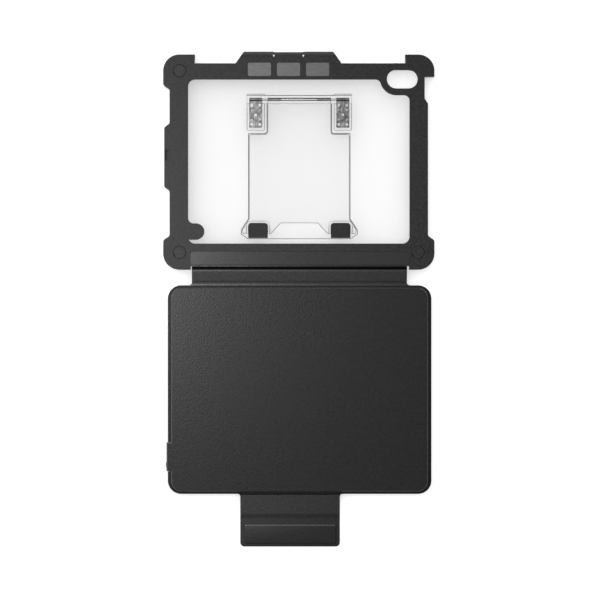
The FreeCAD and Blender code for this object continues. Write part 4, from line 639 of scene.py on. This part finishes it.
# %% Model the spine
TONGUE_LENGTH = 8 * MM
BOARD_MARGIN = 1.3 * MM
BOARD_RISE = 0.5 * MM
BOARD_FROM_SHELL = 2.2 * MM
BOARD_FROM_KEYBOARD = 2.4 * MM
BOARD_SIDE_ANGLE = math.radians(18)
spine_x = (spine_low.x, spine_high.x)
slope_vector = (keyboard_fold - shell_fold).normalized()
board_start = shell_fold + slope_vector * BOARD_FROM_SHELL
board_end = keyboard_fold - slope_vector * BOARD_FROM_KEYBOARD
spine_points = [Vector((0, tongue_low.y + TONGUE_LENGTH, shell_fold.z)), shell_fold + Vector((0, 1.2 * MM, 0)),
                shell_fold + Vector((0, 0.4 * MM, -0.02 * MM)), shell_fold + slope_vector * 0.4 * MM,
                shell_fold + slope_vector * 1.2 * MM, board_start]
spine_points += along(board_start, board_end, 4) + [board_end, keyboard_fold - slope_vector * 1.8 * MM]
spine_cover = cloth_strip("spine_cover", spine_x, [(point.y, point.z, 0) for point in spine_points])
give_thickness(spine_cover, sheet_thickness)
slope_normal = Vector((0, -slope_vector.z, slope_vector.y))
if slope_normal.z < 0:
    slope_normal = -slope_normal


def raise_board(side):
    """Push the faces over the board outwards on one side of the cloth."""
    def over_board(middle, normal):
        travelled = (middle - shell_fold).dot(slope_vector)
        inside = (board_start - shell_fold).length < travelled < (board_end - shell_fold).length
        return inside and normal.dot(slope_normal) * side > 0.9
    select_faces(spine_cover, over_board)
    bpy.ops.mesh.inset(thickness=BOARD_MARGIN, depth=0.0)
    bpy.ops.transform.translate(value=slope_normal * side * BOARD_RISE)
    leave_edit()


for side in (1, -1):
    raise_board(side)
apply_modifier(spine_cover, "BEVEL", width=CUT_EDGE, segments=2, limit_method="ANGLE",
               angle_limit=BOARD_SIDE_ANGLE)
report(spine_cover)

# %% [markdown]
# The thin hinge between the spine and the folio is its own strip, because it bends over another fold. It starts
# under the board's lower edge and spreads into the sheet with a fillet at each side.

# %% Model the hinge of the folio
HINGE_FILLET = 3.0 * MM
HINGE_SINK = 0.8 * MM
HINGE_THINNER = 0.1 * MM
HINGE_EDGE = 0.15 * MM
UNDER_BOARD = (3.4, 2.2)
FILLET_STEPS = 6
LEAST_STEP = 1e-5
hinge_points = [(*(keyboard_fold - slope_vector * back * MM).yz, 0) for back in UNDER_BOARD]
fillet = concave(HINGE_FILLET, FILLET_STEPS)
for distance, flare in reversed(fillet[:-1]):
    y = sheet_high.y + distance
    above = max(0.0, y - keyboard_fold.y)
    hinge_points.append((y, keyboard_fold.z + above * -slope_vector.z / -slope_vector.y, flare))
hinge_points.append((sheet_high.y - HINGE_SINK, keyboard_fold.z, HINGE_FILLET))
for point in hinge_points:
    print("hinge point", [round(value / MM, 2) for value in point])
hinge_points = [point for number, point in enumerate(hinge_points)
                if number == 0 or point[0] < hinge_points[number - 1][0] - LEAST_STEP]
spine_fold = cloth_strip("spine_fold", spine_x, hinge_points)
thicken(spine_fold, sheet_thickness - HINGE_THINNER, HINGE_EDGE)
report(spine_fold)

# %% [markdown]
# The flap is one strap with three folds. It is modelled as three strips that meet where both neighbours ride on
# the same part, so the seams never open. The first one grows out of the sheet with a fillet at each side.

# %% Model the strap
STRAP_THICKNESS = 1.6 * MM
STRAP_FILLET = 2.5 * MM
STRAP_OVERLAP = 0.13 * MM
FOLD_REACH = 1.2 * MM
flap_x = (strap_low.x, strap_high.x)
strap_slope = (tip_fold - root_fold).normalized()
upper_seam = root_fold.lerp(middle_fold, 0.5)
lower_seam = middle_fold.lerp(tip_fold, 0.5)


def round_fold(fold, before, after):
    """The points of a strip that turns gently at a fold."""
    return [fold - before * FOLD_REACH, fold - before * FOLD_REACH * 0.4,
            fold + after * FOLD_REACH * 0.4, fold + after * FOLD_REACH]


flat = Vector((0, -1, 0))
root_points = []
for distance, flare in concave(STRAP_FILLET, FILLET_STEPS):
    y = sheet_low.y - distance
    below = max(0.0, root_fold.y - y)
    root_points.append((y, root_fold.z + below * strap_slope.z / -strap_slope.y, flare))
fillet_end = Vector((0, *root_points[-1][:2]))
upper_path = [(sheet_low.y + STRAP_OVERLAP, root_fold.z, STRAP_FILLET)] + root_points
upper_path += [(*point.yz, 0) for point in along(fillet_end, upper_seam, 3)]
upper_path.append((*upper_seam.yz, 0))
flap_upper = cloth_strip("flap_upper", flap_x, upper_path)
give_thickness(flap_upper, STRAP_THICKNESS)
report(flap_upper)

lower_path = [(*point.yz, 0) for point in (
    upper_seam, *along(upper_seam, middle_fold - strap_slope * FOLD_REACH, 3),
    *round_fold(middle_fold, strap_slope, strap_slope), *along(middle_fold, lower_seam, 3)[1:], lower_seam)]
flap_lower = cloth_strip("flap_lower", flap_x, lower_path)
give_thickness(flap_lower, STRAP_THICKNESS)
report(flap_lower)

# %% [markdown]
# The tip carries three magnets. Its strip rounds off at the end, and stays flat. The magnets lie under a second
# skin that is pressed over them and welded round its rim, so it stands proud with a rounded edge. That skin is
# its own piece: a plane with rounded corners, thickened upwards.

# %% Model the tip and its magnet pocket
TIP_CORNER = 4.0 * MM
POCKET_START = 6.5 * MM
POCKET_END = 25.0 * MM
POCKET_MARGIN = 4.0 * MM
POCKET_CORNER = 2.0 * MM
POCKET_EDGE = 0.75 * MM
POCKET_SINK = 0.1 * MM
TIP_MIDDLE = 12 * MM
CORNER_STEPS = 8
LAST_TURN = 0.985
tip_end = tip_low.y
tip_path = [lower_seam] + along(lower_seam, tip_fold, 3) + round_fold(tip_fold, strap_slope, flat)
tip_path += [Vector((0, y, tip_fold.z)) for y in (tip_fold.y - TIP_MIDDLE, tip_end + TIP_CORNER)]
tip_path = [(*point.yz, 0) for point in tip_path]
for step in range(1, CORNER_STEPS + 1):
    turn = math.pi / 2 * step / CORNER_STEPS * (LAST_TURN if step == CORNER_STEPS else 1)
    tip_path.append((tip_end + TIP_CORNER * (1 - math.sin(turn)), tip_fold.z,
                     -TIP_CORNER * (1 - math.cos(turn))))
flap_end = cloth_strip("flap_end", flap_x, tip_path)
give_thickness(flap_end, STRAP_THICKNESS)
report(flap_end)

pocket_low = tip_fold.z + STRAP_THICKNESS / 2 - POCKET_SINK
pocket_thickness = tip_high.z - pocket_low
flap_pocket = flat_sheet("flap_pocket", (flap_x[0] + POCKET_MARGIN, flap_x[1] - POCKET_MARGIN),
                         (tip_fold.y - POCKET_END, tip_fold.y - POCKET_START),
                         pocket_low + pocket_thickness / 2, POCKET_CORNER)
thicken(flap_pocket, pocket_thickness, POCKET_EDGE)
report(flap_pocket)

# %% [markdown]
# The strips get softened long edges last. Their ends at the seams stay sharp, so that two strips meet without a
# groove between them.

# %% Soften the strap's edges
STRAP_EDGE = 0.35 * MM
SHARP_SIDE = math.radians(30)
SEAM_REACH = 0.3 * MM


def soften_sides(piece, *seams):
    """Bevel the sharp edges of a strip, except those in the planes of its seams."""
    select_vertices(piece, lambda place: True)
    mesh = bmesh.from_edit_mesh(piece.data)
    bpy.ops.mesh.select_mode(type="EDGE")
    for edge in mesh.edges:
        middle = (edge.verts[0].co + edge.verts[1].co) / 2
        sharp = len(edge.link_faces) == 2 and edge.calc_face_angle(0) > SHARP_SIDE
        edge.select = sharp and all(abs((middle - seam).dot(strap_slope)) > SEAM_REACH for seam in seams)
    bmesh.update_edit_mesh(piece.data)
    bpy.ops.mesh.bevel(offset=STRAP_EDGE, segments=3, profile=0.5, affect="EDGES", clamp_overlap=True)
    leave_edit()


soften_sides(flap_upper, upper_seam)
soften_sides(flap_lower, upper_seam, lower_seam)
soften_sides(flap_end, lower_seam)
for piece in (flap_upper, flap_lower, flap_end):
    report(piece)

# %% [markdown]
# Skins have two sides: the coated cloth outside and a soft lining inside. Faces that look down take the lining.
# Then the folio sheet and the magnet pocket are tied to the part they ride on, the other skins have their
# placement baked into their meshes, and the plain strips of the frame that the skins stand for are hidden.

# %% Finish the skins and tie them to the frame
SMOOTH_BELOW = 40
SHELL_CREASE_SHADOW_REACH = 1.7 * MM
FLAP_CREASE_SHADOW_REACH = 0.9 * MM


def dress(piece, outside, inside):
    """Give a skin its two finishes and shade it smooth."""
    piece.data.materials.clear()
    piece.data.materials.append(outside)
    piece.data.materials.append(inside)
    for face in piece.data.polygons:
        face.material_index = 1 if face.normal.z < -0.5 else 0
    smooth(piece, SMOOTH_BELOW)


def paint(piece, material, wanted):
    """Give one more finish to the faces that pass a test of middle and normal."""
    piece.data.materials.append(material)
    last = len(piece.data.materials) - 1
    for face in piece.data.polygons:
        if wanted(face.center, face.normal):
            face.material_index = last


skins = (folio_sheet, spine_cover, spine_fold, flap_upper, flap_lower, flap_end, flap_pocket)
outsides = (shaded_rim_cloth, skin_cloth, skin_cloth, skin_cloth, skin_cloth, shaded_tip_cloth, shaded_tip_cloth)
for skin, outside in zip(skins, outsides):
    dress(skin, outside, lining_cloth)
# Painted shadow: near-black cloth in the crease at the spine's first fold and at the strap's root.
paint(spine_cover, crease_shadow_cloth,
      lambda middle, normal: abs(middle.y - shell_fold.y) < SHELL_CREASE_SHADOW_REACH and normal.z > 0)
paint(flap_upper, crease_shadow_cloth, lambda middle, normal: middle.y > sheet_low.y - FLAP_CREASE_SHADOW_REACH and normal.z > 0)
# Painted highlight on the pocket's bevel faces that look towards the bright side.
paint(flap_pocket, pocket_highlight_cloth, lambda middle, normal: normal.y > 0.3 and 0.1 < normal.z < 0.98)
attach(folio_sheet, "keyboard")
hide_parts("folio_skin")
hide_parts("spine_tongue", "spine_skin", "spine_lining", "spine_board")
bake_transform(spine_cover)
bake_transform(spine_fold)
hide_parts("flap_strap")
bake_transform(flap_upper)
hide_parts("flap_bend")
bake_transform(flap_lower)
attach(flap_pocket, "flap_tip")
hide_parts("flap_tip_cover")
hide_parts("flap_tip_lining")
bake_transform(flap_end)

# %% [markdown]
# The case lies on a plain white light table, which glows a little, so shadows stay pale and the clear parts
# are lit from below. The floor is part of the stage, not of the object.

# %% Lay the table
TABLE_SIDE = 4
TABLE_SINK = 0.3 * MM
TABLE_GLOW = 0.52
TABLE_DRIFT_MM = 400.0
start_clean()
bpy.ops.mesh.primitive_plane_add(size=TABLE_SIDE, location=(0, 0, -TABLE_SINK))
floor = bpy.context.object
floor.name = "table"
white, white_tree, white_shader = new_finish("table_white")
colour_range(white_tree, add_noise(white_tree, TABLE_DRIFT_MM), grey(0.80), grey(0.82),
             white_shader.inputs["Base Color"])
white_shader.inputs["Roughness"].default_value = 0.9
white_shader.inputs["Emission Color"].default_value = (1, 1, 1, 1)
white_shader.inputs["Emission Strength"].default_value = TABLE_GLOW
white_shader.inputs["Specular IOR Level"].default_value = 0.1
floor.data.materials.append(white)

# %% [markdown]
# Soft studio light: a bright room whose far wall is the brightest, so bevels that face it are lined with light
# and the others stay dark, and one lamp close by on the left. The lamp gives the black panel its slow fall from
# grey to black. It would over-light the table and the clear parts, so it is linked to the dark parts only.

# %% Light the case
BRIGHT_SIDE = (-0.40, 0.90, 0.0)
ROOM_DARKEST, ROOM_BRIGHTEST = 0.05, 1.95
LAMP_PLACE, LAMP_AIM = (-0.32, 0.08, 0.50), (-0.05, -0.02, 0)
LAMP_SIZE, LAMP_POWER = 0.22, 7.5
world = bpy.data.worlds.new("room")
bpy.context.scene.world = world
world.use_nodes = True
world_tree = world.node_tree
direction = world_tree.nodes.new("ShaderNodeTexCoord")
towards = world_tree.nodes.new("ShaderNodeVectorMath")
towards.operation = "DOT_PRODUCT"
towards.inputs[1].default_value = BRIGHT_SIDE
fall = world_tree.nodes.new("ShaderNodeMapRange")
fall.inputs["From Min"].default_value = -1.0
fall.inputs["To Min"].default_value = ROOM_DARKEST
fall.inputs["To Max"].default_value = ROOM_BRIGHTEST
world_tree.links.new(direction.outputs["Generated"], towards.inputs[0])
world_tree.links.new(towards.outputs["Value"], fall.inputs["Value"])
world_tree.links.new(fall.outputs["Result"], world_tree.nodes["Background"].inputs["Strength"])
world_tree.nodes["Background"].inputs["Color"].default_value = (1, 1, 1, 1)


def add_lamp(name, place, aim, size, power):
    """A square lamp that points at a place."""
    start_clean()
    bpy.ops.object.light_add(type="AREA", location=place)
    lamp = bpy.context.object
    lamp.name = name
    lamp.data.size = size
    lamp.data.energy = power
    lamp.visible_camera = False
    lamp.rotation_euler = (Vector(aim) - Vector(place)).to_track_quat("-Z", "Y").to_euler()
    return lamp


key_lamp = add_lamp("key_lamp", LAMP_PLACE, LAMP_AIM, LAMP_SIZE, LAMP_POWER)
lit_by_lamp = bpy.data.collections.new("lit_by_key_lamp")
for name, node in frame["nodes"].items():
    if name not in ("back_panel", "kickstand_plate"):
        lit_by_lamp.objects.link(node)
for skin in skins:
    lit_by_lamp.objects.link(skin)
key_lamp.light_linking.receiver_collection = lit_by_lamp

# %% [markdown]
# The camera looks straight down from far away through a long lens, so the sides of the case stay hidden and
# nothing looks larger for being nearer. The shell's far end is at the top of the view.

# %% Set the camera
CAMERA_FAR = 2.93
CAMERA_SHIFT = 0.0002
LENS_MM, SENSOR_MM = 180, 36
bpy.ops.object.camera_add(location=(CAMERA_SHIFT, CAMERA_SHIFT, CAMERA_FAR), rotation=(0, 0, 0))
camera = bpy.context.object
camera.data.lens = LENS_MM
camera.data.sensor_width = SENSOR_MM
camera.data.clip_end = 20
bpy.context.scene.camera = camera
bpy.context.scene.view_settings.view_transform = "Standard"
